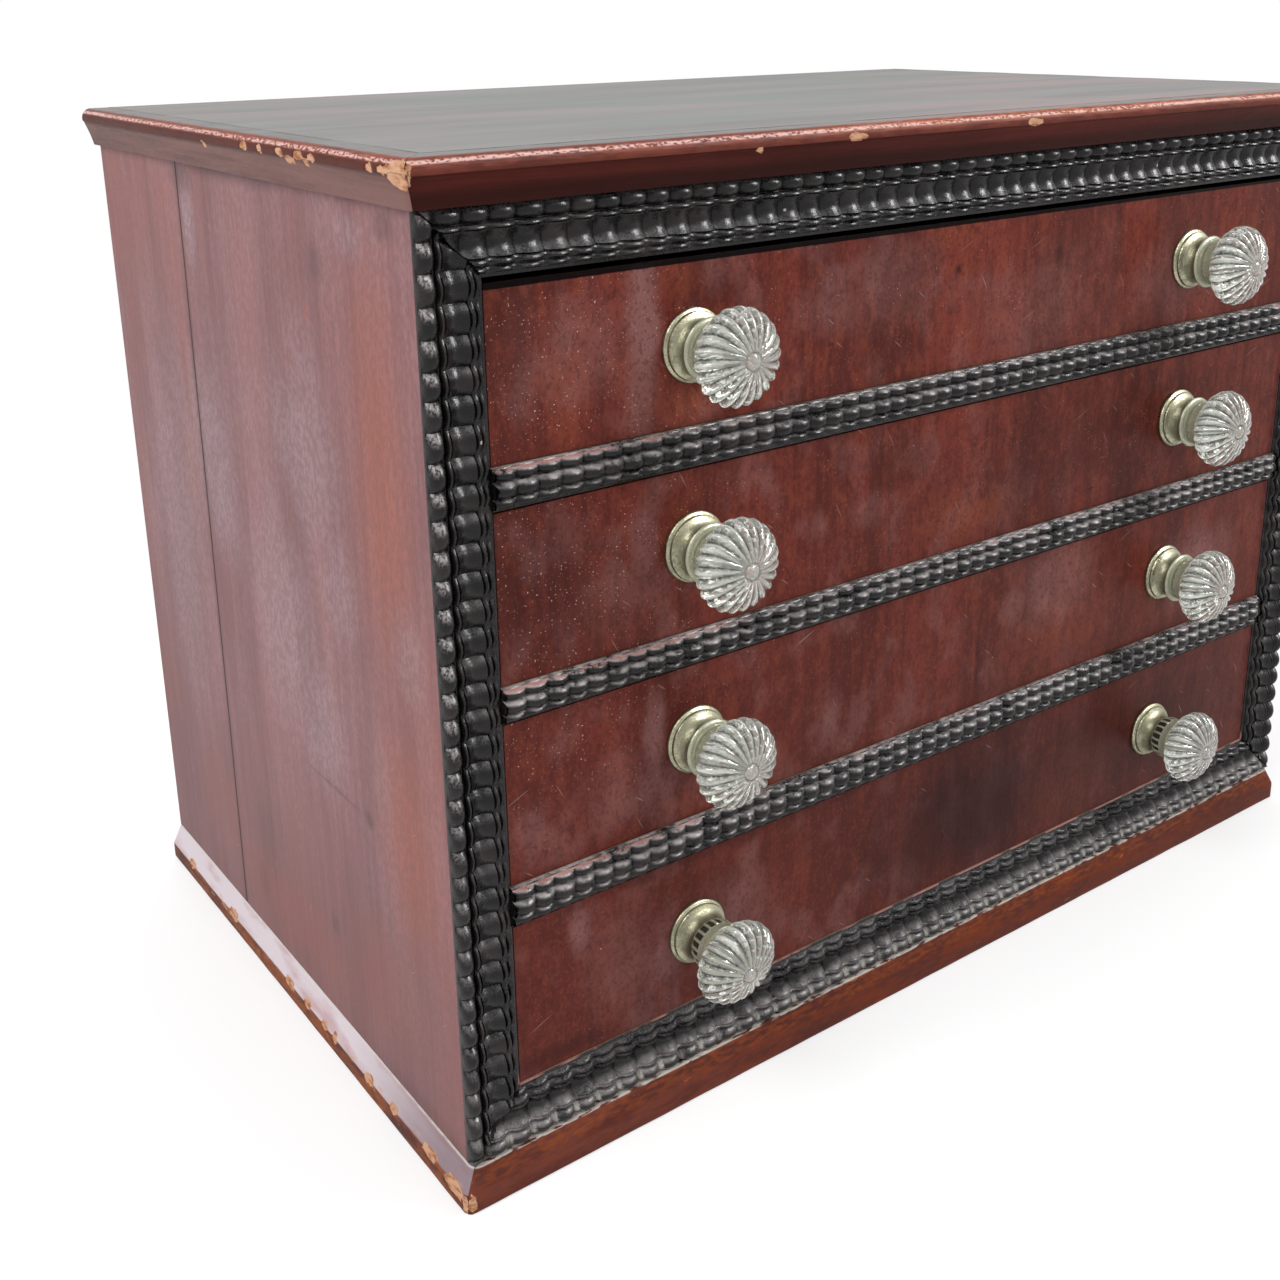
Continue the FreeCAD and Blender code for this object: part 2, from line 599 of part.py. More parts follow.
def drawer(number):
    """All the pieces of one drawer, by node name."""
    name = "drawer_%d_" % number
    low = "(%s + run_gap)" % opening_low[number]
    top_gap = "top_gap_1" if number == 1 else "top_gap"
    high = "(opening_%d - run_gap - %s)" % (number, top_gap)
    half = "(case_width / 2 - board_thick - side_gap)"
    inside = "(case_width / 2 - board_thick - side_gap - drawer_side_thick)"
    panel = "(case_width / 2 - board_thick - side_gap - drawer_side_thick + groove_deep)"
    wall = "(opening_%d - run_gap - %s - side_lower)" % (number, top_gap)
    floor = "(%s + bottom_up + bottom_thick)" % low

    bottom = board(name + "bottom", ("-" + panel, "front_thick - groove_deep", low + " + bottom_up"),
                   ("2 * " + panel, drawer_length + " - front_thick + groove_deep", "bottom_thick"))
    plain_side = board(name + "side_board", ("-" + half, "front_thick", low),
                       ("drawer_side_thick", drawer_length + " - front_thick", wall))
    tails = []
    for tail in range(TAILS):
        wedge = doc.addObject("Part::Wedge", name + "tail_%d" % (tail + 1))
        for key, formula in (("Xmin", "0"), ("Xmax", "drawer_side_thick"), ("X2min", "0"),
                             ("X2max", "drawer_side_thick"), ("Ymin", "0"), ("Ymax", "lap_length"),
                             ("Zmin", "-tail_tip / 2"), ("Zmax", "tail_tip / 2"),
                             ("Z2min", "-tail_root / 2"), ("Z2max", "tail_root / 2")):
            wedge.setExpression(key, bound(formula))
        place(wedge, "-" + half, "front_thick - lap_length",
              "%s + %s * %s / %s" % (low, wall, 2 * tail + 1, 2 * TAILS))
        tails.append(wedge)
    side_blank = join(name + "side_blank", [plain_side] + tails)
    side_left = cut(name + "side_left", side_blank, [bottom])
    side_right = mirrored(name + "side_right", side_left)
    back = board(name + "back", ("-" + inside, drawer_length + " - drawer_back_thick", floor),
                 ("2 * " + inside, "drawer_back_thick", wall + " - bottom_up - bottom_thick"))

    knob_level = "(%s + %s / 2 + knob_rise_%d)" % (low, high, number)
    holes = [rod(name + "hole_" + side, "bolt_radius + bolt_play", "front_thick",
                 (sign + knob_line, "front_thick", knob_level), OUT)
             for side, sign in (("left", "-"), ("right", ""))]
    front_blank = board(name + "front_blank", ("-" + half, "0", low), ("2 * " + half, "front_thick", high))
    front = cut(name + "front", front_blank,
                [side_blank, mirrored(name + "side_blank_right", side_blank), bottom] + holes)

    rose = turned(name + "rose_left", rose_outline())
    place(rose, "-" + knob_line, 0, knob_level)
    roses = group(name + "knob_roses", [rose, mirrored(name + "rose_right", rose)])
    fixings = []
    heads = []
    for side, sign in (("left", "-"), ("right", "")):
        fixings += knob_fixing(name + "knob_" + side, sign + knob_line, knob_level)
        head = doc.addObject("Part::Feature", name + "head_" + side)
        head.Shape = head_shape
        place(head, sign + knob_line, 0, knob_level)
        heads.append(head)
    return {
        name + "front": front,
        name + "side_left": side_left,
        name + "side_right": side_right,
        name + "back": back,
        name + "bottom": bottom,
        name + "knob_roses": roses,
        name + "knob_heads": group(name + "knob_heads", heads),
        name + "knob_bolts": group(name + "knob_bolts", fixings),
    }


nodes = {
    "side_left_front": side_left_front,
    "side_left_back": side_left_back,
    "side_right_front": side_right_front,
    "side_right_back": side_right_back,
    "carcass_top": carcass_top,
    "carcass_bottom": carcass_bottom,
    "back_panel": back_panel,
    "back_nails": back_nails,
    "drawer_stops": drawer_stops,
    "top_board": top_board,
    "plinth_back": plinth_back,
    "plinth_screws": plinth_screws,
}
for number, piece in dividers.items():
    nodes["divider_%d" % number] = piece
for side, moulding, plinth in zip(("front", "left", "right"), top_mouldings, plinth_pieces):
    nodes["top_moulding_" + side] = moulding
    nodes["plinth_" + side] = plinth
for side, piece in ripple_frames.items():
    nodes["ripple_frame_" + side] = piece
for number, piece in ripple_rails.items():
    nodes["ripple_rail_%d" % number] = piece
for number in (1, 2, 3, 4):
    nodes.update(drawer(number))

doc.recompute()

# Nothing is written unless every object came out whole
for item in doc.Objects:
    if "Invalid" in item.State or "Error" in item.State:
        raise RuntimeError("%s did not build: %s" % (item.Label, item.State))
for node, piece in nodes.items():
    if piece.Shape.isNull() or not piece.Shape.isValid() or not piece.Shape.Solids:
        raise RuntimeError("%s has no sound solid" % node)

os.makedirs("parts", exist_ok=True)
for node, piece in nodes.items():
    piece.Shape.exportStep(os.path.join("parts", node + ".step"))
print("%d nodes, %d solids" % (len(nodes), sum(len(piece.Shape.Solids) for piece in nodes.values())))
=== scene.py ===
"""Looks of the tabletop chest of drawers: mahogany, ebonised ripple mouldings, aged brass and pressed glass.

Laid out as an add-on and run as a script. Lengths are in metres, in the chest's own frame: X along the front,
Y from the front to the back, Z up, with the floor at zero.
"""

import math

import bmesh
import bpy
import numpy
from mathutils import Matrix, Vector, noise


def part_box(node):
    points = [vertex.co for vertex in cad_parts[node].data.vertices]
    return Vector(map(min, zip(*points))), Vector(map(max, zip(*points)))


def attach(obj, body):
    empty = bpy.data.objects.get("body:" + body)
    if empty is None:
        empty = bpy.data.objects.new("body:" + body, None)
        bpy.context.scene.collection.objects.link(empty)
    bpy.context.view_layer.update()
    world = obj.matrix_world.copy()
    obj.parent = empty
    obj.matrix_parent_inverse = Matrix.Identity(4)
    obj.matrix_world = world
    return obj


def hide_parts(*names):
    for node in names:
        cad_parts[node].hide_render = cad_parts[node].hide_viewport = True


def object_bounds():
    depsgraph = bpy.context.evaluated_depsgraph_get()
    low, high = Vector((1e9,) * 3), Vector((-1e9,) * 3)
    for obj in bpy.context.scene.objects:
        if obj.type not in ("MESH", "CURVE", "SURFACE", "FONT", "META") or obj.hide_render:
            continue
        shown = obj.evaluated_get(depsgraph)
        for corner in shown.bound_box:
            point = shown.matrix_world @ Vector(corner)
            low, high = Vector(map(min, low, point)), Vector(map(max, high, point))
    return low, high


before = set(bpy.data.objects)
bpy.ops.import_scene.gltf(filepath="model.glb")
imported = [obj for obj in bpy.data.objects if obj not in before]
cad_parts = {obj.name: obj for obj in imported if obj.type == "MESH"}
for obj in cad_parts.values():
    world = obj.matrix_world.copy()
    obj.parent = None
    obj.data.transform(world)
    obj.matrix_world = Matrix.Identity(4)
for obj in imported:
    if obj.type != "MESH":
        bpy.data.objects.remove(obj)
cad_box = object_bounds()
chest_middle = (cad_box[0] + cad_box[1]) / 2

bl_info = {
    "name": "Tabletop chest of drawers",
    "version": (1, 0, 0),
    "blender": (4, 5, 0),
    "location": "3D View > Sidebar > Chest",
    "description": "Mahogany, ripple mouldings, brass roses and glass heads of a small chest of drawers",
    "category": "Object",
}

MM = 0.001
DRAWERS = (1, 2, 3, 4)
RAILS = (1, 2, 3)


# Values of a node tree
class Wire:
    """An output of a node; sums written on it add Math nodes to its tree."""

    def __init__(self, tree, socket):
        self.tree = tree
        self.socket = socket

    def sum(self, operation, *others, first=(), clamp=False):
        """A Math node of this operation on this value and the others, after a first number if given."""
        made = self.tree.nodes.new("ShaderNodeMath")
        made.operation = operation
        made.use_clamp = clamp
        for place, value in enumerate((*first, self, *others)):
            if isinstance(value, Wire):
                self.tree.links.new(value.socket, made.inputs[place])
            else:
                made.inputs[place].default_value = value
        return Wire(self.tree, made.outputs[0])

    def __add__(self, other):
        return self.sum("ADD", other)

    def __sub__(self, other):
        return self.sum("SUBTRACT", other)

    def __rsub__(self, other):
        return self.sum("SUBTRACT", first=(other,))

    def __mul__(self, other):
        return self.sum("MULTIPLY", other)

    def __truediv__(self, other):
        return self.sum("DIVIDE", other)

    def __rtruediv__(self, other):
        return self.sum("DIVIDE", first=(other,))

    def __pow__(self, other):
        return self.sum("POWER", other)

    __radd__ = __add__
    __rmul__ = __mul__

    def least(self, other):
        return self.sum("MINIMUM", other)

    def most(self, other):
        return self.sum("MAXIMUM", other)

    def size(self):
        return self.sum("ABSOLUTE")

    def clamped(self):
        return self.sum("ADD", 0.0, clamp=True)


class Bench:
    """Adds nodes to one tree."""

    def __init__(self, tree):
        self.tree = tree

    def socket(self, sockets, name):
        """The socket of that identifier, or else of that name."""
        for socket in sockets:
            if socket.identifier == name:
                return socket
        return sockets[name]

    def node(self, kind, settings=None, values=None):
        """A node of this type: its settings first, then the value or link of each named socket."""
        made = self.tree.nodes.new(kind)
        for name, setting in (settings or {}).items():
            if name == "captures":
                for kind_of_value, label in setting:
                    made.capture_items.new(kind_of_value, label)
            else:
                setattr(made, name, setting)
        for name, value in (values or {}).items():
            socket = self.socket(made.inputs, name)
            if isinstance(value, Wire):
                self.tree.links.new(value.socket, socket)
            else:
                socket.default_value = value
        return made

    def wire(self, made, name):
        """An output of a node as a value for sums."""
        return Wire(self.tree, self.socket(made.outputs, name))

    def take(self, kind, output, settings=None, values=None):
        """One output of a new node."""
        return self.wire(self.node(kind, settings, values), output)

    def split(self, vector):
        """The three parts of a vector."""
        parts = self.node("ShaderNodeSeparateXYZ", None, {"Vector": vector})
        return [self.wire(parts, letter) for letter in "XYZ"]

    def joined(self, x, y, z):
        """A vector from three values."""
        return self.take("ShaderNodeCombineXYZ", "Vector", None, {"X": x, "Y": y, "Z": z})

    def step(self, value, low, high):
        """A smooth rise from 0 at low to 1 at high."""
        return self.take("ShaderNodeMapRange", "Result", {"interpolation_type": "SMOOTHSTEP"},
                         {"Value": value, "From Min": low, "From Max": high})


class Finish(Bench):
    """A material with one surface shader, whose base is the colour laid so far."""

    def __init__(self, name):
        self.material = bpy.data.materials.new(name)
        self.material.use_nodes = True
        self.material.node_tree.nodes.clear()
        super().__init__(self.material.node_tree)
        self.place = self.take("ShaderNodeTexCoord", "Object")
        self.x, self.y, self.z = self.split(self.place)
        self.base = None

    def blend(self, low, high, share):
        """A colour between two, by share; a name stands for that colour of the settings."""
        values = {"Factor_Float": share}
        for key, tone in (("A_Color", low), ("B_Color", high)):
            if isinstance(tone, str):
                tone = colour(tone)
            values[key] = tone if isinstance(tone, Wire) else (*tone, 1.0)
        return self.take("ShaderNodeMix", "Result_Color", {"data_type": "RGBA"}, values)

    def lay(self, tone, share):
        """Lays a colour over the base, by share."""
        self.base = self.blend(self.base, tone, share)

    def mapped(self, location, scale):
        """The place on the piece, scaled and moved."""
        return self.take("ShaderNodeMapping", "Vector", None, {
            "Vector": self.place, "Location": location, "Scale": scale})

    def cloud(self, size, stretch=(1, 1, 1), detail=3.0, seed=0):
        """Noise whose marks measure about size times stretch."""
        scale = tuple(1 / (size * share) for share in stretch)
        spot = self.mapped((seed * 1.37, seed * 0.71, seed * 2.13), scale)
        return self.take("ShaderNodeTexNoise", "Fac", None, {"Vector": spot, "Scale": 1.0, "Detail": detail})

    def scatter(self, settings, spot):
        """A scatter of cells: how far the nearest mark is, and its chance."""
        cells = self.node("ShaderNodeTexVoronoi", settings, {"Vector": spot, "Scale": 1.0})
        return self.wire(cells, "Distance"), self.split(self.wire(cells, "Color"))[0]

    def scratches(self, face, degrees, length, width, spread, seed):
        """Straight scratches on a flat face, such as XZ, all at one angle and about a spread apart."""
        lean = math.radians(degrees)
        first, second = (getattr(self, letter.lower()) for letter in face)
        lengthwise = (first * math.cos(lean) + second * math.sin(lean)) * (width / (length * spread))
        sideways = (second * math.cos(lean) - first * math.sin(lean)) * (1 / spread)
        spot = self.joined(lengthwise + seed, sideways, 0.0)
        away, strength = self.scatter({"voronoi_dimensions": "2D"}, spot)
        half = width / spread / 2
        return (1 - self.step(away, half * 0.3, half)) * strength

    def specks(self, size, radius, share, seed):
        """Small round marks in some cells of a scatter."""
        away, chance = self.scatter(None, self.mapped((seed, seed * 0.3, seed * 0.7), (1 / size,) * 3))
        return (1 - self.step(away, radius * 0.5, radius)) * self.step(chance, 1 - share, 1 - share * 0.9)

    def patches(self, face, places, ragged):
        """Soft patches on a flat face, each by its middle and reach in millimetres and its strength."""
        total = None
        for *spans, strength in places:
            middles = dict(zip(face, spans[:2]))
            reaches = dict(zip(face, spans[2:]))
            moved = tuple(-middles[letter] / reaches[letter] if letter in face else 0.0 for letter in "XYZ")
            scale = tuple(1 / (reaches[letter] * MM) if letter in face else 0.0 for letter in "XYZ")
            length = self.take("ShaderNodeVectorMath", "Value", {"operation": "LENGTH"}, {
                "Vector": self.mapped(moved, scale)})
            patch = strength * (1 - self.step(length + ragged, 0.2, 1.25))
            total = patch if total is None else total.most(patch)
        return total

    def close(self, varied, fixed=None, bump=None):
        """Ends the material: what varies over the surface, what is the same all over, and its relief."""
        shader = self.node("ShaderNodeBsdfPrincipled", None, {
            **(fixed or {}), **varied, "Base Color": self.base})
        if bump is not None:
            height, depth = bump
            relief = self.take("ShaderNodeBump", "Normal", None, {
                "Height": height, "Distance": depth, "Strength": 1.0})
            self.tree.links.new(relief.socket, shader.inputs["Normal"])
        self.node("ShaderNodeOutputMaterial", None, {"Surface": self.wire(shader, "BSDF")})
        return self.material


# Marks of use, and on the sides one painted shadow, each as middle and reach along the two axes of its face,
# in millimetres, and a strength
FRONT_HAZE = ((-161, 310, 9, 34, 0.95), (-180, 306, 16, 22, 0.4), (-75, 306, 22, 12, 0.35),
              (44, 300, 36, 16, 0.22), (-130, 327, 8, 10, 0.4), (-161, 236, 7, 18, 0.6),
              (-106, 247, 6, 10, 0.5), (-53, 224, 14, 8, 0.3), (-158, 160, 6, 20, 0.8),
              (36, 162, 10, 10, 0.45), (-70, 143, 6, 14, 0.35), (-193, 93, 5, 10, 0.5),
              (-212, 140, 12, 14, 0.2), (132, 296, 34, 22, 0.5), (60, 310, 30, 18, 0.15),
              (168, 150, 30, 24, 0.8), (40, 290, 50, 26, 0.25), (-120, 68, 26, 24, 0.4),
              (-46, 313, 30, 18, 0.3), (-168, 69, 26, 30, 0.32), (64, 168, 30, 24, 0.5),
              (-172, 144, 26, 16, 0.2), (-172, 216, 24, 16, 0.2), (-206, 308, 12, 20, 0.12))
FRONT_WARM = ((-140, 282, 18, 9, 1.0), (-143, 326, 10, 10, 0.6), (-12, 328, 20, 8, 0.45),
              (-115, 214, 12, 14, 0.8), (5, 211, 28, 12, 0.8), (63, 142, 34, 20, 0.8),
              (-140, 127, 14, 6, 0.5), (-84, 75, 4, 9, 0.6), (84, 60, 32, 24, 1.0), (-22, 68, 16, 20, 0.4),
              (-193, 298, 14, 20, 0.4), (170, 214, 26, 16, 0.6), (186, 306, 16, 14, 0.5),
              (140, 136, 20, 12, 0.5))
FRONT_STAINS = ((-9.4, 313.4, 2.6, 2.8, 0.95), (50, 313.4, 3.2, 5, 0.6), (6, 72, 64, 44, 0.95),
                (13.3, 143, 1.6, 20, 0.5), (12, 245, 1.5, 9, 0.5), (-30, 250, 1.5, 9, 0.5),
                (-200, 45, 26, 5, 0.5), (82, 206, 4, 1.2, 0.7), (-75, 293, 2, 1.2, 0.6),
                (-120, 104, 90, 4, 0.3), (150, 96, 60, 5, 0.3), (110, 228, 140, 36, 0.42),
                (-195, 226, 40, 34, 0.42), (120, 72, 140, 40, 0.62), (-34, 242, 22, 14, 0.4))
SIDE_HAZE = ((90, 262, 26, 70, 0.6), (75, 215, 22, 30, 0.5), (192, 334, 9, 26, 0.9),
             (100, 150, 30, 34, 0.6), (130, 190, 40, 60, 0.6), (45, 345, 14, 10, 0.5),
             (20, 205, 14, 22, 0.4), (240, 200, 40, 110, 0.6), (186, 240, 34, 60, 0.7),
             (98, 262, 30, 46, 0.7))
SIDE_WARM = ((32, 260, 24, 80, 0.8), (30, 130, 26, 64, 0.8), (50, 58, 44, 32, 0.6), (150, 42, 80, 24, 0.7),
             (82, 313, 2.6, 5, 0.9), (222, 60, 32, 30, 0.5), (222, 225, 16, 30, 0.4))
# On the sides, the wide band at 356 mm just under the top's edge is a painted shadow; the rest are stains.
SIDE_STAINS_AND_SHADOW = ((72, 332, 8, 8, 0.5), (18, 350, 8, 6, 0.6), (195, 352, 14, 9, 0.7), (150, 356, 60, 5, 0.5),
               (180, 42, 7, 16, 0.45), (172, 70, 20, 24, 0.3), (62, 127, 4, 4, 0.8),
               (90, 127, 30, 1.2, 0.6), (103, 61, 4.5, 6.5, 0.6), (30, 18, 60, 7, 0.35))


def along(grain, length):
    """Stretch of marks that run with the grain, length times as long as they are wide."""
    return tuple(length if letter == grain else 1.0 for letter in "XYZ")


def colour(name, share=1.0):
    """A colour of the settings, or a darker share of it."""
    return tuple(share * value for value in getattr(settings().colours, name))


def wood(m, grain, dark, usual, seed):
    """Broad bands, streaks and fibre along the grain: the colour, the streaks and the fibre."""
    bands = m.cloud(0.028, along(grain, 7), 3, seed)
    streaks = m.cloud(0.004, along(grain, 20), 4, seed + 1)
    fibre = m.cloud(0.0007, along(grain, 26), 2, seed + 2)
    tone = bands * 0.55 + streaks * 0.3 + fibre * 0.15
    return m.blend(dark, usual, m.step(tone, 0.36, 0.63)), streaks, fibre


def worn_scratches(m, face, seed):
    """Fine straight scratches that cross each other."""
    return (m.scratches(face, 24, 0.014, 0.00034, 0.011, seed)
            + m.scratches(face, 118, 0.009, 0.0003, 0.012, seed + 3)
            + m.scratches(face, -38, 0.006, 0.0003, 0.009, seed + 5)).clamped()


def drawer_front_wood(seed):
    """Dark red mahogany: upright dark bands, hazy and warm places, stains, crumbs of dirt and scratches, and
    a painted shadow along the first drawer's upper edge.
    """
    m = Finish("mahogany_drawer_fronts")
    m.base, streaks, fibre = wood(m, "Z", "front_dark", "front", seed)
    ragged = 1.1 * (m.cloud(0.013, along("Z", 2.5), 6, seed + 4) - 0.5)
    mottle = m.cloud(0.0045, along("Z", 1.5), 6, seed + 7)
    m.lay("front_warm", m.patches("XZ", FRONT_WARM, ragged) * 0.85)
    m.lay("front_warm", m.step(mottle, 0.52, 0.66) * 0.35)
    shade = m.step(m.cloud(0.010, along("Z", 6), 4, seed + 6), 0.5, 0.68)
    m.lay("front_dark", (shade * 0.5).most(m.step(mottle, 0.46, 0.36) * 0.5))
    m.lay("front_dark", m.step(m.z, 0.27, 0.06) * 0.5)
    cloudy = m.step(m.cloud(0.02, along("Z", 1.4), 7, seed + 5), 0.48, 0.66)
    bloom = (0.34 - 0.25 * m.step(m.x, -0.05, 0.1)) * cloudy
    haze = (m.patches("XZ", FRONT_HAZE, ragged) + bloom).clamped() * (0.6 + 0.8 * mottle)
    m.lay("front_haze", haze * 0.72)
    grainy = m.cloud(0.0013, along("Z", 1.3), 5, seed + 14)
    m.lay("front_dark", m.step(grainy, 0.5, 0.34) * 0.45)
    m.lay("front_warm", m.step(grainy, 0.54, 0.68) * 0.28)
    m.lay("stain", m.patches("XZ", FRONT_STAINS, ragged) * 0.75)
    left_end = m.step(m.x, -0.09, -0.2)
    crowd = m.step(m.cloud(0.010, detail=4, seed=seed + 12) + 0.09 * left_end, 0.50, 0.60)
    crowd = crowd * (0.4 + 0.6 * left_end) * (0.15 + 0.85 * m.step(m.z, 0.12, 0.2))
    crumbs = m.step(m.cloud(0.0009, detail=3, seed=seed + 8), 0.64, 0.71) * crowd
    specks = m.specks(0.013, 0.03, 0.3, seed + 9) * 0.6
    marks = (crumbs + specks + worn_scratches(m, "XZ", seed) * 0.6).clamped()
    m.lay("pale_mark", marks * 0.8)
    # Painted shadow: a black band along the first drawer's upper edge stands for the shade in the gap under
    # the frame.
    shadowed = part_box("drawer_1_front")[1].z - settings().wear.painted_shadow + 0.0022 * m.x + 0.0004 * (streaks - 0.5)
    m.lay("painted_shadow", m.step(m.z - shadowed, -0.0002, 0.0002) * 0.97)
    return m.close({"Roughness": 0.30 + 0.25 * haze + 0.1 * marks}, {"Specular IOR Level": 0.05},
                   (fibre * 0.2 + streaks * 0.5 + mottle * 0.6 - marks * 0.3, 0.0002))


def side_wood(name, seed, marked):
    """Faded mahogany of the case's sides, with a mauve bloom, warm drifts, the marks of use and a painted
    shadow under the top's edge.
    """
    m = Finish(name)
    m.base, streaks, fibre = wood(m, "Z", "side_dark", "side", seed)
    m.lay("side", 0.35)
    ragged = m.cloud(0.02, along("Z", 2.5), 6, seed + 4) - 0.5
    mottle = m.cloud(0.0016, along("Z", 1.6), 4, seed + 6)
    drift = m.cloud(0.05, along("Z", 2.5), 4, seed + 5)
    warm = 0.35 * m.step(drift, 0.55, 0.3)
    haze = 0.3 * m.step(drift, 0.5, 0.75)
    if marked:
        warm = warm.most(m.patches("YZ", SIDE_WARM, ragged))
        haze = haze.most(m.patches("YZ", SIDE_HAZE, ragged))
    m.lay("side_warm", warm * 0.75)
    m.lay("side_haze", haze * (0.7 + 0.3 * m.step(mottle, 0.4, 0.62)) * 0.7)
    m.lay("side_dark", m.step(mottle, 0.6, 0.42) * 0.34)
    m.lay("side_dark", m.step(m.z, 0.15, 0.05) * 0.42)
    if marked:
        # Stains, and a painted shadow under the top's edge.
        m.lay("side_stain", m.patches("YZ", SIDE_STAINS_AND_SHADOW, ragged) * 0.7)
    low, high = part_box("side_left_front")
    joint_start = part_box("side_left_back")[0].y
    slant = (high.y - joint_start) / (high.z - low.z)
    joint = (m.y - (joint_start + (high.z - m.z) * slant) + 0.0008 * (streaks - 0.5)).size()
    crack = (1 - m.step(joint, 0.0003, 0.0011)) + 0.35 * (1 - m.step(joint, 0.001, 0.004))
    m.lay("stain", crack.clamped() * 0.75)
    marks = (m.specks(0.006, 0.07, 0.25, seed + 8) * 0.8 + worn_scratches(m, "YZ", seed) * 0.55).clamped()
    m.lay("pale_mark", marks * 0.6)
    return m.close({"Roughness": 0.42 + 0.16 * mottle}, {"Specular IOR Level": 0.22},
                   (fibre * 0.25 + streaks * 0.5 + mottle * 0.3 - marks * 0.3, 0.00025))


def top_colour(m, seed=5):
    """Faded grey of the top's upper face, with faint rosy and greenish streaks, and its scratches."""
    base, streaks, fibre = wood(m, "X", "top_dark", "top", seed)
    base = m.blend(base, "top_rosy", m.step(m.cloud(0.05, along("X", 4), 4, seed + 4), 0.5, 0.68))
    base = m.blend(base, "top_green", 0.8 * m.step(m.cloud(0.04, along("X", 5), 4, seed + 5), 0.52, 0.7))
    marks = (m.scratches("XY", 52, 0.03, 0.0007, 0.03, seed)
             + 0.6 * m.scratches("XY", 8, 0.02, 0.0006, 0.025, seed + 2)
             + 0.5 * m.specks(0.014, 0.05, 0.3, seed + 8)).clamped()
    return m.blend(base, "top_mark", marks * 0.55), streaks, fibre


def top_wood():
    """The top board: grey above, dark red at its edge."""
    m = Finish("mahogany_top")
    face, streaks, fibre = top_colour(m)
    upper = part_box("top_board")[1].z
    m.base = m.blend("nose_dark", face, m.step(m.z, upper - 0.0012, upper - 0.0004))
    return m.close({"Roughness": 0.45 + 0.1 * fibre}, {"Specular IOR Level": 0.3},
                   (fibre * 0.3 + streaks * 0.5, 0.0002))


def bare_patches(m, grain, seed):
    """Lays bare wood where the mesh says that a chip is, and gives its share."""
    bare = m.take("ShaderNodeAttribute", "Fac", {"attribute_name": "bare"})
    share = m.step(bare + 0.5 * (m.cloud(0.0022, detail=5, seed=seed) - 0.5), 0.42, 0.56)
    grime = m.step(m.cloud(0.0018, along(grain, 3), 4, seed + 1), 0.42, 0.68)
    m.lay(m.blend("bare_wood", "bare_wood_dark", grime), share)
    return share


def top_moulding_wood(name, grain, seed, front):
    """The top's edge: grey above, a worn nose with a pale line of wear and painted highlight, and a cove
    darkened with painted shade.
    """
    m = Finish(name)
    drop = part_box("top_moulding_front")[1].z - m.z
    fine = m.cloud(0.0012, along(grain, 5), 5, seed)
    broad = m.cloud(0.012, along(grain, 5), 4, seed + 1)
    m.base = m.blend("nose_dark", "nose", m.step(fine * 0.5 + broad * 0.5, 0.38, 0.6))
    usual = "cove" if front else "cove_side"
    cove, _, fibre = wood(m, grain, colour(usual, 0.5), usual, seed + 2)
    if front:
        # Painted shade: the cove goes darker towards its foot.
        cove = m.blend(cove, "cove_shade", m.step(drop + 0.002 * (broad - 0.5), 0.0085, 0.0125) * 0.75)
        rubbed = m.step(m.x, -0.12, -0.05) * m.step(fine, 0.62, 0.36)
        m.lay("nose_rubbed", rubbed * (1 - m.step(drop, 0.0018, 0.0036)) * 0.9)
    else:
        # Painted shade under the nose at the sides, in the cove and on the nose's lower part.
        cove = m.blend(cove, "cove_shade", (1 - m.step(drop, 0.0056, 0.0072)) * 0.5)
        m.lay("cove_shade", m.step(drop, 0.0018, 0.0032) * 0.65)
    # The pale line along the nose: wear, and a painted highlight where the nose catches the light.
    line = 0.0016 + 0.0008 * (broad - 0.5)
    granular = m.step(m.cloud(0.0008, along(grain, 2), 5, seed + 9) * 0.75 + broad * 0.25, 0.60, 0.46)
    m.lay("nose_wear_highlight", (1 - m.step((drop - line).size(), 0.0002, 0.0009)) * granular * 0.9)
    m.lay("nose_dark", m.step(drop, 0.0024, 0.0044) * 0.6)
    # Lays the cove's tone, with its painted shade, below the nose.
    m.lay(cove, m.step(drop, 0.0051, 0.0056))
    upper = top_colour(m)[0]
    m.base = m.blend(upper, m.base, m.step(drop + 0.0003 * (fine - 0.5), 0.0001, 0.0005))
    bare = bare_patches(m, grain, seed + 7)
    return m.close({"Roughness": 0.34 + 0.15 * fine + 0.3 * bare}, {"Specular IOR Level": 0.05},
                   (fine * 0.7 + fibre * 0.3, 0.0003))


